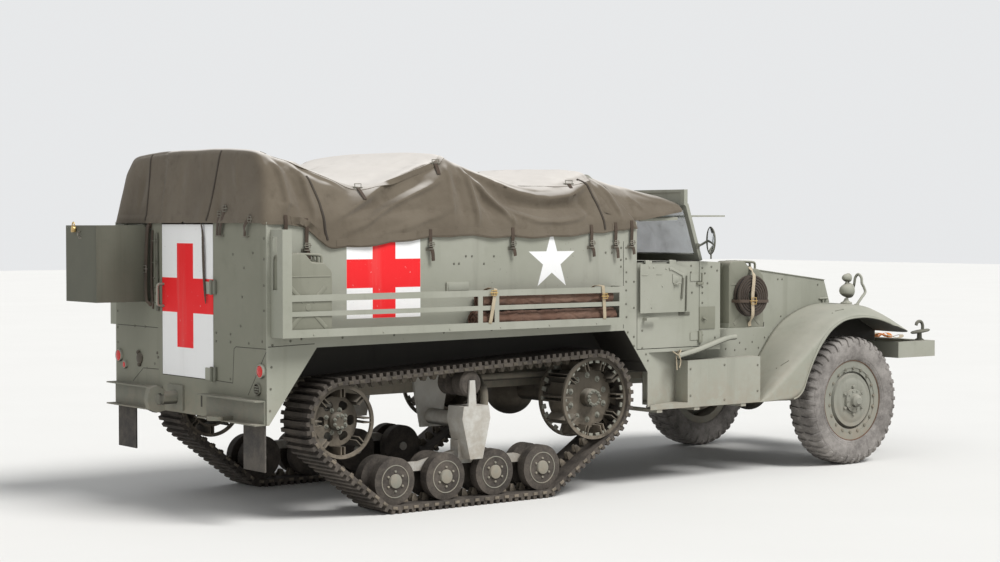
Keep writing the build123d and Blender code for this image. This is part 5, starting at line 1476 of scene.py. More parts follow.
def hood_side(x):
    """Half width of the hood's side at x."""
    share = min(max((x - FIREWALL_X) / (HOOD_FRONT_X - FIREWALL_X), 0), 1)
    return HOOD_REAR_HALF + (HOOD_FRONT_HALF - HOOD_REAR_HALF) * share


def fender_row(outer, mid, inner, lip):
    """Points from the free edge over the rounded shoulder to the hood's side."""
    free, shoulder, crown, seat = (Vector((x, -y, z)) for (x, z), y in (
        (lip, LIP_Y), (outer, SHOULDER_Y), (mid, CROWN_Y), (inner, INNER_Y)))
    share = (hood_side(seat.x) + 2 - INNER_Y) / (CROWN_Y - INNER_Y)
    seat = seat.lerp(crown, min(max(share, 0), 1))
    web, top = free - shoulder, crown - shoulder
    start = shoulder + web.normalized() * min(46, web.length * 0.6)
    end = shoulder + top.normalized() * min(70, top.length * 0.6)
    row = [free.lerp(start, k / 5) for k in range(5)]
    for k in range(8):
        t = k / 7
        row.append(start.lerp(shoulder, t).lerp(shoulder.lerp(end, t), t))
    over = curve_through([start, end, crown, seat], 19)
    return row + over[7:]


stations = [curve_through([Vector((*p, 0)) for p in line], 97) for line in zip(*FENDER_LINES)]
rows = [fender_row(*((p.x, p.y) for p in station)) for station in zip(*stations)]
fender_grid = numpy.array([[tuple(p) for p in row] for row in rows])
lip_line = spots(*fender_grid[:, 0])
fender_grid = in_frame(fender_grid)
for hand, sign in (("right", -1), ("left", 1)):
    shape = from_points(fender_grid)
    bead = sweep([p + Vector((0, 0, 0.004)) for p in lip_line[16:]], round_section(6.5, 10), Y)
    if sign > 0:
        shape, bead = mirrored(shape), mirrored(bead)
    bmesh.ops.recalc_face_normals(shape, faces=shape.faces)
    if sum(face.normal.z for face in shape.faces) < 0:
        bmesh.ops.reverse_faces(shape, faces=shape.faces)
    made = piece("fender_skin_" + hand, [shape], olive_paint, crease=50)
    thicken(made, "sheet_thickness", FENDER_THICKNESS)
    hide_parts("fender_" + hand)
    piece("fender_bead_" + hand, [bead], olive_paint)
print("fenders:", fender_grid.shape[:2], "points")

# %% [markdown]
# The headlamp is a deep round bowl with a bright lens, and a small marker lamp stands on top of it. A bent tube
# loops up in front of both and back down. They are turned and drawn here, where their curves can be round, and
# take the place of the plain lamps.

# %% Headlamps
LAMP_X, LAMP_Y, LAMP_Z, MARKER_Z = 172.0, -700.0, 1297.0, 1394.0
lamp_at, marker_at = spot(LAMP_X, LAMP_Y, LAMP_Z), spot(LAMP_X, LAMP_Y, MARKER_Z)
bowl = [(0, -68), (11, -67), (23, -62), (35, -52), (43, -38), (50, -20), (54, 0), (56, 8), (58, 10), (58, 22),
        (55, 26), (51, 24), (49, 16), (0, 12)]
marker = [(0, -50), (8, -49), (18, -42), (27, -26), (31, -8), (32, 4), (34, 6), (34, 16), (30, 18), (28, 12), (0, 10)]
lens = [(0, 34), (18, 32), (35, 28), (46, 22), (50, 18), (48, 14), (0, 14)]
foot = from_above("fender_right", LAMP_X - 10, LAMP_Y)[0]
low, high = foot.z * 1000 + 2, LAMP_Z
pillar = [(0, 0), (44, 0), (44, 9), (34, 14), (20, 24), (15, 40), (15, high - low - 60), (0, high - low - 60)]
stem = [(0, 0), (13, 0), (16, 8), (10, 14), (10, 30), (0, 30)]
lamp = [lathe(bowl, lamp_at, X, 56), lathe(marker, marker_at, X, 40), lathe(pillar, foot, Z, 36),
        lathe(stem, spot(LAMP_X - 8, LAMP_Y, LAMP_Z + 46), Z, 24)]
for k in range(4):
    angle = math.tau * (k + 0.5) / 4
    lamp.append(bolt(foot + Vector((34 * math.cos(angle), 34 * math.sin(angle), 9)) / 1000, Z, 11, 6))
lamp.append(bolt(lamp_at + Vector((0.016, 0, 0.058)), Z, 9, 7))
guard = [(196, -775, from_above("fender_right", 196, -775)[0].z * 1000), (249, -775, 1242), (292, -772, 1282),
         (282, -768, 1322), (264, -765, 1352), (262, -760, 1396), (262, -730, 1419), (262, -700, 1396),
         (262, -690, 1352), (276, -668, 1320), (290, -640, 1282), (249, -632, 1242),
         (200, -630, from_above("fender_right", 200, -630)[0].z * 1000)]
lamp.append(sweep(curve_through(spots(*guard), 120), round_section(10.5, 12), X))
for x, y, z in (guard[0], guard[-1]):
    lamp.append(lathe([(0, 0), (20, 0), (20, 6), (14, 10), (0, 10)], spot(x, y, z - 2), Z, 20))
made = piece("headlamp_bodies", both(lamp), olive_paint, crease=40)
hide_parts("headlamps")
glass_shapes = [lathe(lens, lamp_at, X, 48), lathe([(0, 22), (20, 19), (28, 13), (0, 11)], marker_at, X, 32)]
piece("headlamp_lenses", both(glass_shapes), lamp_glass)
print("headlamps with lenses and guards")

# %% [markdown]
# Short slots and rivets show on the fender where brackets are fixed beneath. Inside the wheel arch a splash
# plate closes the space between the fender and the engine; it is near black, as painted shade of the arch.

# %% Fender marks and splash plates
marks = []
for first, last in (((-140, 1153), (-62, 1164)), ((-716, 770), (-660, 806))):
    ends = [from_right("fender_skin_right", *place) for place in (first, last)]
    if all(ends):
        marks.append(sweep([end[0] for end in ends], flat_section(7, 2.5), ends[0][1]))
for x, z in ((-176, 1140), (-740, 752)):
    found = from_right("fender_skin_right", x, z)
    if found:
        marks.append(rivet(*found, 6, 2.5))
piece("fender_marks", both(marks), fitting_paint)
SPLASH_Y = -447
SPLASH = [(-560, 760), (-560, 930), (-420, 1000), (-250, 1070), (-100, 1120), (100, 1150), (200, 1160), (300, 1152),
          (430, 1108), (560, 1066), (700, 1008), (760, 966), (760, 880), (420, 800), (100, 770)]
for k, (x, z) in enumerate(SPLASH):
    above = from_above("fender_skin_right", x, SPLASH_Y - 5)
    if above and z > 900:
        SPLASH[k] = (x, min(z, above[0].z * 1000 - 8))
splash = plate([spot(x, SPLASH_Y, z) for x, z in SPLASH], -Y, 5, 1)
piece("splash_plates", both([splash]), arch_shade_paint)
print("fender marks and splash plates")

# %% [markdown]
# ## Fasteners and fittings on the body
#
# The armour is bolted on with flat round heads from outside. Their places follow the plate seams, the brackets
# behind the plates, and the frames round doors and lamps. Tables give each view's places in millimetres.

# %% Hull bolts
SIDE_BOLTS = [(-2350, 1647), (-2306, 1647), (-2236, 1647), (-2488, 1616), (-2433, 1615), (-2377, 1616),
              (-2352, 1566), (-2306, 1573), (-2303, 1481), (-2305, 1417), (-2305, 1359), (-2305, 1266),
              (-2302, 1177), (-2235, 1238), (-2235, 1416), (-2290, 1073), (-2235, 1041), (-2235, 978),
              (-2125, 917), (-2107, 873), (-3655, 1605), (-3607, 1604), (-3431, 1602), (-3749, 1558),
              (-3710, 1558), (-3511, 1555), (-2352, 1520), (-4884, 1120), (-4960, 1110), (-4590, 1118),
              (-4210, 1121), (-3830, 1124), (-3450, 1127), (-3070, 1130), (-2690, 1133), (-5085, 1090),
              (-5092, 960), (-5098, 830), (-5103, 700)]
REAR_BOLTS = [(-952, 1725), (-951, 1603), (-950, 1446), (-949, 1296), (-717, 1546), (-694, 1370), (-675, 1194),
              (-552, 1140), (-551, 1091), (-770, 1093), (-927, 1111), (-376, 1141), (-376, 1088), (-549, 865),
              (-823, 1637), (-585, 1627), (952, 1230), (952, 1120), (705, 1140), (560, 1140), (430, 905),
              (540, 870), (952, 1020)]
COWL_BOLTS = [(-1601, 1500), (-1577, 1462), (-1553, 1392), (-1601, 1366), (-1601, 1326), (-1601, 1256), (-1515, 1507),
              (-1601, 1198), (-1460, 1480), (-1335, 1500), (-1335, 1240), (-1600, 1030), (-1480, 1010), (-1335, 990)]
HOOD_BOLTS = [(-415, 1390), (-359, 1389), (115, 1336), (-375, 1110), (-895, 934), (-738, 933), (-821, 884),
              (-660, 886), (-1065, 898), (-956, 883), (-583, 960), (-1240, 1490), (-1240, 1300), (-1240, 1120),
              (-1240, 940), (-900, 1452), (120, 1180), (-1130, 700), (-1230, 620), (-900, 620)]


def bolt_head(place, out, across=15, high=4.0):
    """A low domed head with a fine flat rim."""
    r = across / 2
    return lathe([(0, -1), (r, -1), (r, high * 0.4), (r * 0.86, high * 0.8), (r * 0.5, high), (0, high)],
                 place, out, 14)


heads = fixed_on("hull_side_right", from_right, SIDE_BOLTS, bolt_head)
COWL_SIDE = ("cowl", "hull_side_right", "windscreen_frame")
heads += fixed_on(COWL_SIDE, from_right, COWL_BOLTS, bolt_head)
heads += fixed_on("engine_armour", from_right, HOOD_BOLTS, bolt_head)
heads = both(heads)
heads += fixed_on("hull_rear", from_rear, REAR_BOLTS, bolt_head)
piece("hull_bolts", heads, fitting_paint, crease=30)

box_bolts = fixed_on("side_box_right", from_right, [(-1064, 797), (-1064, 612), (-1716, 797), (-1716, 612),
                                                    (-1390, 812), (-1390, 566)], bolt_head, across=17)
piece("toolbox_bolts", both(box_bolts), fitting_paint, crease=30)
rack_bolts = fixed_on("side_rack_right", from_right, [(x, 1152) for x in (-4880, -4380, -3880, -3480, -3080, -2680)],
                      bolt_head, across=13)
piece("rack_bolts", both(rack_bolts), olive_paint, crease=30)
print("body bolts:", len(heads) + 2 * len(box_bolts) + 2 * len(rack_bolts))

# %% [markdown]
# Seams show where the hull's plates meet. Each is a shallow dark line here: a thin strip, just proud of the
# plate, in the colour of shadow and old dirt. The rear armour also has an access panel.

# %% Plate seams
seam_dark = Finish("seam_dark").surface(base_color=(0.05, 0.048, 0.038), roughness=0.9)
SIDE_SEAMS = [[(-2330, 1690), (-2330, 1100)], [(-2210, 950), (-2210, 860)], [(-5116, 1080), (-4790, 1088)]]
REAR_SEAMS = [[(-373, 845), (-577, 842), (-594, 1052), (-616, 1065), (-972, 1068)], [(-972, 1050), (-760, 780)],
              [(378, 872), (590, 868), (735, 775)], [(952, 1140), (385, 1140)]]


def seam_strips(name, view, lines, out):
    """A thin strip along each stretch of the lines that meets the plate."""
    strips = []
    for line in lines:
        for ends in zip(line, line[1:]):
            hits = [view(name, *p) for p in ends]
            if all(hits):
                strips.append(sweep([hit[0] for hit in hits], flat_section(4.5, 1.2, -0.4), out))
    return strips


seams = []
for strip in seam_strips("hull_side_right", from_right, SIDE_SEAMS, -Y):
    seams += [strip, mirrored(strip)]
seams += seam_strips("hull_rear", from_rear, REAR_SEAMS, -X)
for y in (-188, -260):
    hit = from_rear("hull_rear", y, 705)
    if hit:
        seams.append(plate([hit[0] + Vector((0, a, b)) / 1000 for a, b in rectangle(9, 36)], -X, 1.5, 0.4))
piece("plate_seams", seams, seam_dark, crease=30)
print("seams:", len(seams))

# %% [markdown]
# The door flap has a sliding cover over its peep slot, a latch rod down its front edge with a lever, and small
# slots for the glass it carries. The door has a lever handle; a latch and a heavy lower hinge sit on the cowl.

# %% Door flap and door hardware
def raised(name, outline, thick, edge=1.2):
    """A flat raised shape on a surface seen from the right; outline is (x, z) in mm."""
    hits = [from_right(name, *p) for p in outline]
    depth = min(hit[0].y for hit in hits if hit)
    return plate([Vector((station(x), depth, z / 1000)) for x, z in outline], -Y, thick, edge)


def raised_box(name, x0, x1, z0, z1, thick, edge=1.2):
    """The same, between two stations and two heights."""
    return raised(name, [(x0, z0), (x1, z0), (x1, z1), (x0, z1)], thick, edge)


flap_shapes = fixed_on("door_flap_right", from_right, [(-2116, 1512), (-2077, 1511), (-1820, 1518), (-1962, 1500),
                                                      (-2096, 1235), (-1996, 1380)], bolt_head, across=14)
flap_shapes.append(raised("door_flap_right", [(-1939, 1505), (-1920, 1512), (-1800, 1462), (-1796, 1400),
                                              (-1812, 1400), (-1814, 1448), (-1918, 1492), (-1930, 1486)], 6))
flap_shapes.append(raised("door_flap_right", [(-1905, 1462), (-1850, 1440), (-1850, 1392), (-1905, 1400)], 5))
for x, z in ((-2160, 1459), (-2025, 1463)):
    flap_shapes.append(raised_box("door_flap_right", x - 26, x + 26, z - 4, z + 4, 3))
pivot = from_right("door_flap_right", -1882, 1390)
flap_shapes += nut_and_washer(pivot[0] - Y * 0.004, -Y, 14)
flap_y = pivot[0].y * 1000
lever = spots((-1882, flap_y - 12, 1392), (-1858, flap_y - 15, 1402), (-1838, flap_y - 16, 1398))
flap_shapes.append(sweep(lever, flat_section(12, 5), -Y))
piece_each_side("flap_hardware", flap_shapes, olive_paint, "door_flap")

rods = [lay_on("door_flap_right", from_right, [(-1776, 1450), (-1783, 1205)], round_section(5), 12, 6),
        lay_on("door_flap_right", from_right, [(-1808, 1434), (-1822, 1290)], flat_section(16, 6, 3), 12)]
piece_each_side("flap_rods", rods, fitting_paint, "door_flap")
latch = fixed_on("cab_door_right", from_right, [(-1815, 1185), (-1740, 1185), (-1710, 1471), (-1708, 1517),
                                                (-2160, 1080), (-2160, 960), (-1700, 1330)], bolt_head)
latch.append(raised_box("cab_door_right", -1826, -1725, 1173, 1197, 5))
piece_each_side("door_latch", latch, fitting_paint, "cab_door")

cowl_fittings = [lay_on(COWL_SIDE, from_right, [(-1610, 1465), (-1610, 1404)], round_section(6), 8, 7),
                 raised_box(COWL_SIDE, -1658, -1600, 1384, 1402, 14),
                 raised_box(COWL_SIDE, -1633, -1483, 1072, 1228, 6),
                 raised_box(COWL_SIDE, -1646, -1610, 978, 1061, 16, 4)]
wing = from_right(COWL_SIDE, -1596, 1146)
cowl_fittings += nut_and_washer(wing[0] - Y * 0.006, -Y, 22)
cowl_fittings.append(sweep([wing[0] + Vector((-0.020, -0.020, 0.010)), wing[0] + Vector((0.020, -0.020, -0.010))],
                           flat_section(10, 3), -Y))
piece("cowl_fittings", both(cowl_fittings), rear_shaded_paint)
helve = curve_through([spot(x, -1004, z) for x, z in ((-1849, 895), (-1700, 922), (-1560, 956), (-1391, 1000),
                                                     (-1302, 1008))], 30)
piece("tool_helve", [sweep(helve, round_section(19, 14), -Y)], olive_paint)
cords = [sweep(curve_through(spots(*line), 30), round_section(4, 8), -Y) for line in
         ([(-1868, -1028, 905), (-1850, -1030, 930), (-1836, -1006, 935), (-1844, -980, 900), (-1866, -1004, 870),
           (-1872, -1016, 800)],
          [(-1905, -1008, 930), (-1880, -1018, 912), (-1862, -1028, 896), (-1850, -1030, 860), (-1858, -1026, 815)])]
piece("helve_cords", cords, tan_webbing)
piece("blank_plate", [raised_box("hull_side_right", -3815, -3640, 1379, 1441, 14, 3),
                      raised_box("hull_side_right", -3806, -3649, 1388, 1432, 17, 1)], olive_paint)
print("door, latch and cowl fittings placed")

# %% [markdown]
# The hood's side armour is held shut by spring catches: a short T handle with two pins above a keeper. They stand
# on the slanting upper plate, where a hand reaches them from the ground.

# %% Hood catches
catches = []
for x, z in ((177, 1228), (-13, 1164)):
    found = from_right("engine_armour", x, z)
    if not found:
        continue
    place, side = found
    down = side.cross(X).normalized()
    down = down if down.z < 0 else -down
    catches.append(sweep([place + side * 0.006 + down * (a / 1000) for a in (-8, 18, 42)], flat_section(18, 7), side))
    catches.append(sweep([place + side * 0.012 + X * (a / 1000) for a in (-46, 46)], round_section(7, 10), side))
    catches += [rivet(place + X * (a / 1000), side, 9, 15) for a in (-46, 46)]
piece("hood_catches", both(catches), olive_paint, crease=35)
print("hood catches:", len(catches))

# %% [markdown]
# ## Rear fittings
#
# The rear plate carries lamps, a trailer socket, a lock column beside the door, and webbing straps. Lenses are
# lathed domes in rimmed cans; below the lamp on the right there is a slotted guard.

# %% Lamps and socket
def lens(centre, out, radius, dome):
    """A pressed glass lens: domed, with a fine rim."""
    return lathe([(0, -2), (radius, -2), (radius, 2), (radius * 0.8, dome * 0.6), (radius * 0.45, dome * 0.93),
                  (0, dome)], centre, out, 28)


cans, red_lenses = [], []
for y, z, r in ((-921, 933, 38), (919, 935, 38), (836, 877, 22)):
    place = spot(REAR_PLATE_X, y, z)
    can = [(0, 0), (r + 5, 0), (r + 5, 13), (r + 2, 17), (r - 2, 17), (r - 3, 12), (0, 12)]
    cans.append(lathe(can, place, -X, 32))
    red_lenses.append(lens(spot(REAR_PLATE_X - 13, y, z), -X, r - 2, r * 0.28))
made = piece("tail_lamp_cans", cans, olive_paint, crease=40)
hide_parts("tail_lamps")
piece("red_lenses", red_lenses, red_glass, crease=50)
guard_face = spot(REAR_PLATE_X, -879, 823)
rims = [ring([(31, 0), (38, 0), (38, 12), (35, 15), (31, 12)], guard_face, -X, 32)]
dark = [lathe([(0, -1), (32, -1), (32, 3), (0, 3)], guard_face, -X, 28)]
for z in (-15, 0, 15):
    wide = 52 if z == 0 else 44
    rims.append(sweep([guard_face + Vector((-0.010, -wide / 2000, z / 1000)),
                       guard_face + Vector((-0.010, wide / 2000, z / 1000))], flat_section(8, 4), -X))
socket_place = spot(REAR_PLATE_X, 632, 930)
dark.append(lathe([(0, 0), (38, 0), (38, 8), (30, 13), (0, 15)], socket_place, -X, 28))
for y, z in ((644, 968), (632, 890)):
    dark.append(lathe([(0, 0), (15, 0), (15, 14), (9, 19), (0, 20)], spot(REAR_PLATE_X, y, z), -X, 16))
piece("rear_lamp_fittings", rims, towing_paint, crease=35)
piece("rear_dark_fittings", dark, gear_paint, crease=35)

# %% [markdown]
# The door's lock column is a tall narrow channel with staples, to the left of the door. The stowage box has a hasp
# with a brass padlock.

# %% Lock column, hasp and padlock
column = [(378, 1752), (376, 1600), (372, 1400), (367, 1250)]
lock = [sweep([spot(-5132, y, z) for y, z in column], flat_section(26, 12, -2), -X)]
for y, z in ((389, 1463), (383, 1405), (378, 1365), (395, 977), (383, 949)):
    lock.append(bolt_head(spot(-5146 if z > 1200 else REAR_PLATE_X, y, z), -X, 17, 7))
for z in (1700, 1560, 1300):
    lock.append(sweep(spots((-5136, 360, z), (-5156, 362, z), (-5160, 374, z), (-5156, 386, z), (-5136, 392, z)),
                      flat_section(20, 4), Z))
piece("lock_column", lock, fitting_paint)

box_face = -5505.0
hasp = [plate([spot(box_face, y, z) for y, z in ((770, 1782), (808, 1782), (808, 1798), (770, 1798))], -X, 4, 1),
        sweep(spots((box_face - 3, 719, 1762), (box_face - 16, 719, 1758), (box_face - 16, 719, 1736),
                    (box_face - 3, 719, 1730)), round_section(4, 10), Y)]
hasp += [bolt_head(spot(box_face, y, 1720), -X, 12, 4) for y in (706, 732)]
piece("box_hasp", hasp, steel)
lock_at = spot(box_face - 14, 790, 1776)
body = plate([lock_at + Vector((0.009, a / 1000, b / 1000)) for a, b in
              ((-21, -19), (21, -19), (23, 8), (14, 20), (-14, 20), (-23, 8))], -X, 18, 3)
bow = curve_through([lock_at + Vector((0, -0.014, 0.014)), lock_at + Vector((0, -0.014, 0.034)),
                     lock_at + Vector((0, 0, 0.047)), lock_at + Vector((0, 0.014, 0.034)),
                     lock_at + Vector((0, 0.014, 0.014))], 22)
piece("padlock", [body, sweep(bow, round_section(4, 10), -X)], brass, crease=45)

# %% [markdown]
# Two webbing straps hold the stowage box against the plate. A long thin strap hangs over the rear door from the
# canvas, and hinge blocks with round barrels stand at the door's right edge.

# %% Box straps, door strap and hinge blocks
webs = []
for line, wide in (([(-5128, 462, 1800), (-5150, 470, 1780), (-5160, 474, 1560), (-5160, 474, 1340),
                     (-5142, 470, 1300), (-5126, 462, 1285)], 36),
                   ([(-5126, 445, 1770), (-5134, 446, 1600), (-5134, 446, 1420), (-5126, 444, 1260)], 22)):
    webs.append(sweep(curve_through(spots(*line), 40), flat_section(wide, 4), -X))
piece("box_webbing", webs, webbing_cloth)
piece("box_buckles", buckle(spot(-5166, 474, 1520), -X, Z, 44, 44), steel)
fall = curve_through(spots((-5142, -221, 1826), (-5134, -228, 1760), (-5136, -238, 1640), (-5134, -242, 1500),
                           (-5136, -258, 1380), (-5134, -266, 1316)), 60)
taper = [sweep(fall[i:i + 6], flat_section(max(4, 26 * math.sin(math.pi * (0.12 + 0.86 * i / 60))), 3), -X)
         for i in range(0, 58, 5)]
piece("door_strap", taper, webbing_cloth)
blocks = []
for z in (1420, 884):
    blocks.append(slab(-5142, -5124.4, -388, -352, z - 42, z + 42, 4))
    blocks.append(sweep(spots((-5146, -352, z - 46), (-5146, -352, z + 46)), round_section(10, 16), -X))
piece("door_hinge_blocks", blocks, towing_paint)
print("rear fittings placed; box face at", round(station(box_face), 4))

# %% [markdown]
# ## Rolls and cans in the racks
#
# The right rack holds two long rolled tarpaulins, one on the other, tied with tan straps. A roll is a spiral of
# cloth: the section wanders in and out a little along its length, and its end shows the layers. The solids in the
# frame are plain rods, so the rolls replace them.

# %% Rolled tarpaulins
ROLL_ENDS = (-3650.0, -2490.0)
RACK_INNER_Y, RACK_OUTER_Y, RACK_FLOOR = 980, 1116.0 - 6, 1140.3
ROLL_RADIUS = (RACK_OUTER_Y - RACK_INNER_Y) * 0.46
ROLL_Y = -RACK_INNER_Y - (RACK_OUTER_Y - RACK_INNER_Y) / 2
ROLL_LOW = RACK_FLOOR + ROLL_RADIUS
ROLL_HIGH = ROLL_LOW + 2 * ROLL_RADIUS + 0.3
ROLL_TIES = (-3420.0, -3120.0, -2700.0)


def roll_of_cloth(low, seed, ends=ROLL_ENDS):
    """A roll between two stations: grooves of its layers run along it, and the ties draw it in."""
    rows, stations, sides = [], 220, 48
    for i in range(stations + 1):
        x = ends[0] + (ends[1] - ends[0]) * i / stations
        tie = sum(math.exp(-((x - t) / 26) ** 2) for t in ROLL_TIES)
        row = []
        for k in range(sides):
            turn = math.tau * k / sides
            wander = noise.noise(Vector((x / 260 + seed, math.cos(turn), math.sin(turn)))) * 3.0
            twist = turn + x / 420 + 1.6 * noise.noise(Vector((x / 170, seed, 0)))
            fold = 4.5 * abs(math.cos(2.5 * twist + seed)) + 2.6 * abs(math.cos(5.5 * twist - x / 90))
            crease = noise.noise(Vector((x / 42, 4 * math.cos(turn), 4 * math.sin(turn) + seed))) * 4.0
            reach = ROLL_RADIUS - 11 + min(wander + fold + crease, 11.5) - 6.0 * tie
            row.append(spot(x, ROLL_Y + reach * math.cos(turn), low + reach * math.sin(turn)))
        rows.append(row + row[:1])
    for end, step in ((0, 1), (-1, -1)):
        face = rows[end]
        centre = sum(face[:-1], Vector()) / sides
        inner = [[centre + (p - centre) * share + X * (depth * step / 1000) for p in face]
                 for share, depth in ((0.80, 0), (0.76, 14), (0.55, 14), (0.50, 2), (0.30, 2), (0.26, 12))]
        inner.append([centre + X * (12 * step / 1000)] * len(face))
        rows = [*reversed(inner), *rows] if end == 0 else [*rows, *inner]
    return closed(from_points(rows))


piece("tarpaulin_rolls", [roll_of_cloth(ROLL_LOW, 1.7), roll_of_cloth(ROLL_HIGH, 5.2, (-3600.0, -2520.0))],
      tarpaulin_cloth, crease=55)
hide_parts("rolled_tarpaulin")
ties = []
for x, lean in ((-3545, -22), (-2622, 8)):
    loop = [spot(x + lean * (z - 1290) / -110, y, z) for y, z in
            ((-1106, 1178), (-1119, 1186), (-1121, 1240), (-1121, 1300), (-1121, 1360), (-1119, 1392), (-1108, 1397),
             (-1050, 1398), (-1000, 1372), (-992, 1280), (-1000, 1170), (-1050, 1150))]
    loop = curve_through(loop, 60, loop=True)
    middle = sum(loop, Vector()) / len(loop)
    ties.append(sweep(loop, flat_section(26, 3), [(p - middle).normalized() for p in loop], loop=True))
piece("roll_ties", ties, tan_webbing)
clasps = buckle(spot(-2619, -1125, 1330), -Y, Z, 40, 30) + buckle(spot(-3543, -1125, 1372), -Y, Z, 40, 30)
piece("tie_buckles", clasps, brass)
print("two rolls in the right rack, with", len(ties), "ties")

# %% [markdown]
# A fuel can is two pressed halves welded round the edge. The weld stands up as a rib, and each face has a pressed
# X that stiffens it, with a round spot at its middle.

# %% Fuel cans
def fuel_can(x0, x1, y0, y1, z0, z1):
    """A can in side view, as thick as y0 to y1, its corners rounded; three handles over a hollow."""
    outline = [(x0, z0 + 3), (x0, z1 - 42), (x0 + 12, z1 - 14), (x0 + 38, z1 - 3), (x0 + 146, z1 - 3),
               (x0 + 166, z1 - 16), (x0 + 204, z1 - 56), (x0 + 290, z1 - 62), (x1 - 10, z1 - 104), (x1 - 1, z1 - 128),
               (x1 - 1, z0 + 3)]
    shapes = [plate([spot(x, y0, z) for x, z in outline], Y, y1 - y0, 11)]
    shapes.append(sweep([spot(x, (y0 + y1) / 2, z) for x, z in outline], flat_section(7, 3, -0.5), -Y, loop=True))
    for share in (0.16, 0.5, 0.84):
        y = y0 + (y1 - y0) * share
        bar = curve_through(spots((x0 + 128, y, z1 - 9), (x0 + 200, y, z1 - 11), (x0 + 262, y, z1 - 16),
                                  (x0 + 276, y, z1 - 30), (x0 + 276, y, z1 - 66)), 26)
        shapes.append(sweep(bar, round_section(8.5, 12), Y))
    shapes.append(lathe([(0, 0), (24, 0), (24, 16), (20, 22), (0, 22)], spot(x0 + 236, (y0 + y1) / 2, z1 - 62), Z, 24))
    return shapes


CANS = ((-5086.0, -4741.0, -1108.0, -984.0, 1140.3, 1640.0), (-1362.0, -1017.0, -1000.0, -850.3, 1066.0, 1548.0))
made = piece("fuel_cans", [shape for can in CANS for shape in fuel_can(*can)], rear_shaded_paint, crease=40)
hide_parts("jerrycans")
bpy.context.view_layer.update()

# %% [markdown]
# The pressings are laid on the can's outer face once it exists, so that they follow it. They stand about 3 mm
# high.

# %% Fuel can pressings
CAN_FACES = ((-5086.0, -4741.0, 1560.0, 1150.0), (-1362.0, -1017.0, 1440.0, 1060.0))


def can_pressings(x0, x1, top, foot):
    """The X, its centre spot, and the long ribs on a can's outer face, between two stations and two heights."""
    name, shapes = "fuel_cans", []
    middle = ((x0 + x1) / 2, (top + foot) / 2 - 40)
    reach_x, reach_z = (x1 - x0) * 0.36, (top - foot) * 0.30
    for a, b in ((-1, 1), (1, 1), (-1, -1), (1, -1)):
        near = (middle[0] + a * reach_x * 0.26, middle[1] + b * reach_z * 0.26)
        far = (middle[0] + a * reach_x, middle[1] + b * reach_z)
        if from_right(name, *near) and from_right(name, *far):
            shapes.append(lay_on(name, from_right, [near, far], flat_section(26, 3.2, -0.6), 12))
    found = from_right(name, *middle)
    if found:
        shapes.append(lathe([(0, -1), (22, -1), (20, 2.2), (13, 3.2), (0, 3.4)], found[0], found[1], 22))
    for z in (top - 62, foot + 12):
        shapes.append(lay_on(name, from_right, [(x0 + 16, z), (x1 - 16, z)], flat_section(9, 3, -0.6), 12))
    return shapes


can_shapes = [shape for face in CAN_FACES for shape in can_pressings(*face)]
piece("can_pressings", can_shapes, rear_shaded_paint, crease=50)
print("can pressings:", len(can_shapes))

# %% [markdown]
# ## Rope and webbing on the front can
#
# A rope is coiled flat on the front can's outer side, under a webbing strap. It is one length in a neat round
# coil, so it is a single NURBS curve in three layers of six turns: out, back in, and out again.

# %% Rope coil
COIL_CENTRE = (-1177.0, 1296.0)
ROPE_THICK = 19.0
COIL_Y = -1000.3 - ROPE_THICK / 2 - 0.5
TURNS = (42, 62, 82, 102, 122, 142)     # radii
route = []
for layer, radii in enumerate((TURNS, TURNS[::-1], TURNS)):
    for turn, radius in enumerate(radii):
        last = radii[min(turn + 1, len(radii) - 1)]
        for k in range(14):
            share = k / 14
            reach = radius + (last - radius) * share
            depth = COIL_Y - layer * (ROPE_THICK + 0.2)
            route.append(spot(COIL_CENTRE[0] + reach * math.sin(math.tau * share), depth,
                              COIL_CENTRE[1] + reach * math.cos(math.tau * share)))
curve = bpy.data.curves.new("rope_coil_cord", "CURVE")
curve.dimensions = "3D"
curve.bevel_depth = ROPE_THICK / 2000
curve.bevel_resolution = 3
curve.resolution_u = 3
curve.use_fill_caps = True
line = curve.splines.new("NURBS")
line.points.add(len(route) - 1)
for point, place in zip(line.points, route):
    point.co = (*place, 1.0)
line.order_u = 3
line.use_endpoint_u = True
rope = bpy.data.objects.new("rope_coil_cord", curve)
bpy.context.scene.collection.objects.link(rope)
curve.materials.append(rope_cloth.material)
rope_length = sum((Vector(a) - Vector(b)).length for a, b in zip(route, route[1:]))
print("rope route", len(route), "points,", round(rope_length, 3), "m")
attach(rope, "hull")
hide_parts("rope_coil")
tuple(route[0])

# %% [markdown]
# A tan strap with a brass buckle runs down over the coil, and a darker band crosses the coil from one side of the
# can to the other.

# %% Can strap
strap_line = curve_through(spots(
    (-1157, -996, 1500), (-1157, -1012, 1476), (-1178, -1060, 1436), (-1196, -1066, 1300), (-1190, -1060, 1160),
    (-1170, -1010, 1112), (-1164, -1003, 1080)), 60)
piece("can_strap", [sweep(strap_line, flat_section(30, 4), -Y)], tan_webbing)
piece("can_strap_buckle", buckle(spot(-1195, -1072, 1262), -Y, Z, 48, 44), brass)
band = curve_through(spots(
    (-1338, -1004, 1262), (-1320, -1050, 1262), (-1290, -1062, 1262), (-1160, -1063, 1258), (-1050, -1061, 1256),
    (-1022, -1040, 1256), (-1016, -1003, 1256)), 50)
piece("coil_band", [sweep(band, flat_section(22, 3, 1), -Y)], webbing_cloth)
print("can strap set")

# %% [markdown]
# ## Cushions
#
# Seats and benches are stuffed canvas pads. A pad starts as a box with rounded corners, a little smaller than the
# real one. It is remeshed evenly and swollen by a cloth simulation with inner pressure, which gives the crown and
# the soft corners that pressed foam has. The seam round its edge is held, and gets a piping afterwards.

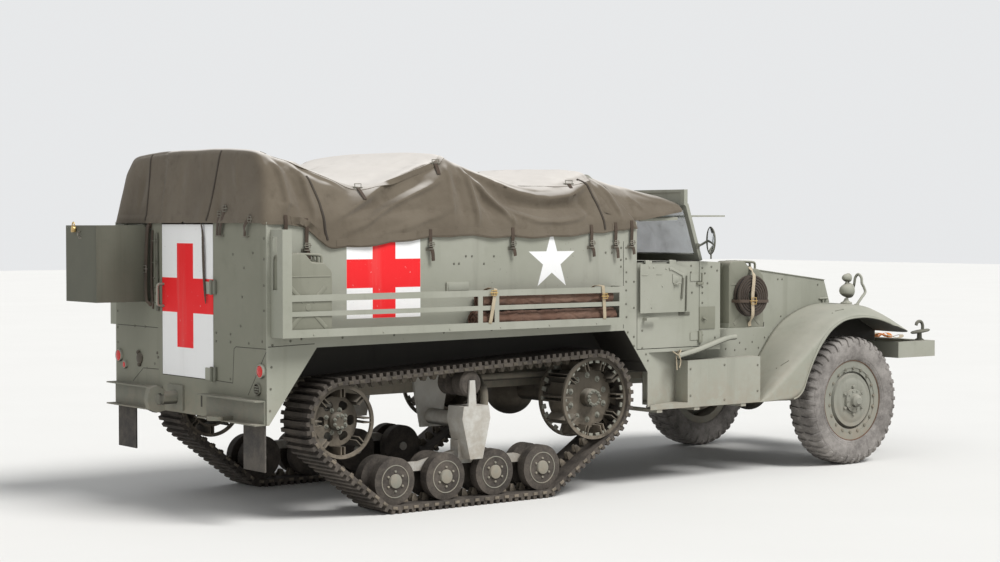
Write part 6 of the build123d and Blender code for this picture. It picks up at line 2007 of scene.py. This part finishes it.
# %% Pads
FLOOR_HIGH = 866.0
SEAT_TOP = FLOOR_HIGH + 294
SEAT_Y = 470


def pad_box(corners, edge):
    """A box through eight corners, in metres, its edges rounded by edge mm."""
    shape = bmesh.new()
    bmesh.ops.create_cube(shape, size=2.0)
    for vert in shape.verts:
        x, y, z = (round(c) for c in vert.co)
        vert.co = corners[(x > 0) * 4 + (y > 0) * 2 + (z > 0)]
    bmesh.ops.recalc_face_normals(shape, faces=shape.faces)
    return soft(shape, edge, 3)


def swollen(made, voxel, swell, seams):
    """Remeshes a pad and blows it up by cloth; points near a seam line stay where they are."""
    remesh = made.modifiers.new("even", "REMESH")
    remesh.mode, remesh.voxel_size = "VOXEL", voxel
    graph = bpy.context.evaluated_depsgraph_get()
    made.data = bpy.data.meshes.new_from_object(made.evaluated_get(graph))
    made.modifiers.clear()
    start = [vert.co.copy() for vert in made.data.vertices]
    blown = made.modifiers.new("swell", "CLOTH")
    blown.settings.use_pressure = True
    blown.settings.uniform_pressure_force = 4.0
    blown.settings.effector_weights.gravity = 0.0
    blown.settings.quality = 4
    scene = bpy.context.scene
    for frame_number in range(1, 21):
        scene.frame_set(frame_number)
    graph = bpy.context.evaluated_depsgraph_get()
    made.data = bpy.data.meshes.new_from_object(made.evaluated_get(graph))
    made.modifiers.clear()
    scene.frame_set(1)
    for vert, rest in zip(made.data.vertices, start):
        move = vert.co - rest
        if move.length > swell:
            move = move.normalized() * swell
        near = min((distance_to_line(rest, line) for line in seams), default=1.0)
        vert.co = rest + move * min(near / 0.03, 1.0) ** 0.8
    made.data.shade_smooth()
    return made


def distance_to_line(point, line):
    best = 9.0
    for a, b in zip(line, line[1:] + line[:1]):
        along_line = b - a
        share = max(0.0, min(1.0, (point - a).dot(along_line) / max(along_line.length_squared, 1e-9)))
        best = min(best, (point - (a + along_line * share)).length)
    return best


def pad(name, corners, voxel, swell, edge=16):
    """A padded piece with its piping; corners run x, then y, then z, low to high."""
    corners = [Vector(c) for c in corners]
    made = piece(name, [pad_box(corners, edge)], seat_cloth)
    seams = []
    for z in (0, 1):
        loop = [corners[z], corners[2 + z], corners[6 + z], corners[4 + z]]
        centre = sum(loop, Vector()) / 4
        seams.append([p + (centre - p).normalized() * (edge * 0.0009) for p in loop])
    swollen(made, voxel, swell, seams)
    piping = []
    for line in seams:
        rounded = curve_through([a.lerp(b, t) for a, b in zip(line, line[1:] + line[:1]) for t in (0.08, 0.5, 0.92)],
                                90, loop=True)
        piping.append(sweep(rounded, round_section(3.6, 8), Z, loop=True))
    piece(name + "_piping", piping, webbing_cloth)


def upright(x0, x1, y0, y1, z0, z1, lean=0.0, drop=0.0):
    """Eight corners in metres; lean shifts the top in x, drop lowers the rear end, both in mm."""
    return [spot(x + (lean if z == z1 else 0), y, z - (drop if x == x0 else 0)) for x in (x0, x1) for y in (y0, y1)
            for z in (z0, z1)]


for hand, side in (("right", -1), ("left", 1)):
    y = SEAT_Y * side
    pad("seat_cushion_" + hand, upright(-2178, -1792, y - 212, y + 212, SEAT_TOP - 76, SEAT_TOP - 10), 0.008, 0.010)
    pad("seat_back_" + hand, upright(-2218, -2152, y - 207, y + 207, SEAT_TOP - 52, SEAT_TOP + 512, lean=-52),
        0.008, 0.010)
    low, high = sorted((side * 618, side * 896))
    pad("bench_cushion_" + hand, upright(-4760, -2430, low, high, 1098, 1160, drop=20), 0.011, 0.010)
    low, high = sorted((side * 937, side * 970))
    pad("bench_back_" + hand, upright(-4762, -2428, low, high, 1204, 1472), 0.011, 0.004, edge=9)
frames = []
for side in (-1, 1):
    y = SEAT_Y * side
    frames.append(slab(-2135, -1795, y - 190, y + 190, FLOOR_HIGH + 1, SEAT_TOP - 84, 4))
    for x in (-2200, -1800):
        frames.append(sweep(spots((x, y - 205, SEAT_TOP - 82), (x, y + 205, SEAT_TOP - 82)), round_section(9), Z))
piece("seat_frames", frames, olive_paint)
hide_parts("cab_seats")
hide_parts("bench_seats")

# %% [markdown]
# ## Mirrors, towing hook and straps on the bumper
#
# A mirror is a shallow pressed shell with a rolled rim round flat glass. The towing hook lies ready on a round
# plate on the bumper's right end, and webbing straps are thrown into the bumper's tray.

# %% Mirrors
mirror_at, glass_side = spot(-1549, -1012, 1690), Vector((-0.9, 0.436, 0))
shell = [(0, 24), (14, 23), (16, 17), (60, 14), (88, 7), (97, 0), (99, -4), (96, -6), (92, -4), (92, -2), (0, -2)]
mirror = [lathe(shell, mirror_at, -glass_side, 48)]
arm = curve_through(spots((-1610, -948, 1652), (-1578, -950, 1664), (-1538, -947, 1680), (-1520, -944, 1688)), 24)
mirror.append(sweep(arm, round_section(8, 12), Z))
mirror.append(sweep(spots((-1549, -1012, 1600), (-1549, -1012, 1562)), round_section(6, 10), -Y))
mirror.append(slab(-1632, -1600, -951.5, -945.3, 1634, 1670, 1.5))
made = piece("mirror_shells", both(mirror), fitting_paint)
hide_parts("mirrors")
face = lathe([(0, -1), (91, -1), (91, 2.5), (88, 3.4), (0, 3.4)], mirror_at, glass_side, 48)
piece("mirror_glasses", both([face]), mirror_glass)
print("mirrors: 2 at", round(mirror_at.z, 3), "m")

# %% [markdown]
# A narrow flat bar runs over each of the cab's side windows, below the edge of the cab canvas. It is one section
# along a straight line.

# %% Bars over the cab's side windows
bar = sweep(spots((-2150, -936, 1824), (-1799, -936, 1835)), flat_section(10, 24), Z)
piece("cab_side_bars", both([bar]), olive_paint)
print("cab side bars: 2")

# %% [markdown]
# The hook is bent from one round bar, drawn along a curve, on a lathed plate. Each webbing strap in the tray is
# one flat section along a closed, wavy loop.

# %% Towing hook and straps
HOOK_Y = -784
hook_place = spot(912, HOOK_Y, 964)
lean = Vector((-0.16, 0.10, 1)).normalized()
hook = [lathe([(0, -8), (70, -8), (76, -3), (76, 3), (70, 7), (22, 8), (16, 12), (0, 12)], hook_place, lean, 40),
        lathe([(0, 0), (34, 0), (34, 8), (20, 16), (18, 58), (0, 60)], spot(905, -782, 894.5), Z, 28)]
curl = curve_through([spot(x, HOOK_Y, z) for x, z in ((936, 968), (940, 1004), (926, 1034), (896, 1042), (872, 1030),
                                                      (864, 1012))], 30)
hook.append(sweep(curl, round_section(12.5, 14), Y))
made = piece("bumper_hook", hook, fitting_paint)
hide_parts("tow_hook")
loops = []
for step, (x, y, wide, tall) in enumerate(((880, -380, 70, 26), (850, -455, 60, 34), (905, -520, 64, 22),
                                           (868, -300, 54, 30))):
    points = []
    for k in range(16):
        turn = math.tau * k / 16
        points.append(spot(x + wide * math.cos(turn), y + wide * 0.9 * math.sin(turn),
                           900 + tall * (0.55 + 0.45 * math.sin(2 * turn + step))))
    loops.append(sweep(curve_through(points, 60, loop=True), flat_section(34, 4), Z, loop=True))
piece("bumper_straps", loops[:2], orange_webbing)
piece("bumper_tan_straps", loops[2:], tan_webbing)
print("bumper hook and", len(loops), "straps")

# %% [markdown]
# What the photograph shows and this scene leaves out: all lettering, numbers and unit marks on the hull, hood,
# doors and cans, and the ground, grass, trees and steel obstacles round the vehicle. Also missing are two hem
# straps above the stowage box, because its lid meets them when it opens, the thing that hangs in the rear slot
# of the right rack, and loose cord on the canvas.

# %% Sizes for the record of this run
low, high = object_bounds()
{"cad": [list(cad_low), list(cad_high)], "visual": [list(low), list(high)]}
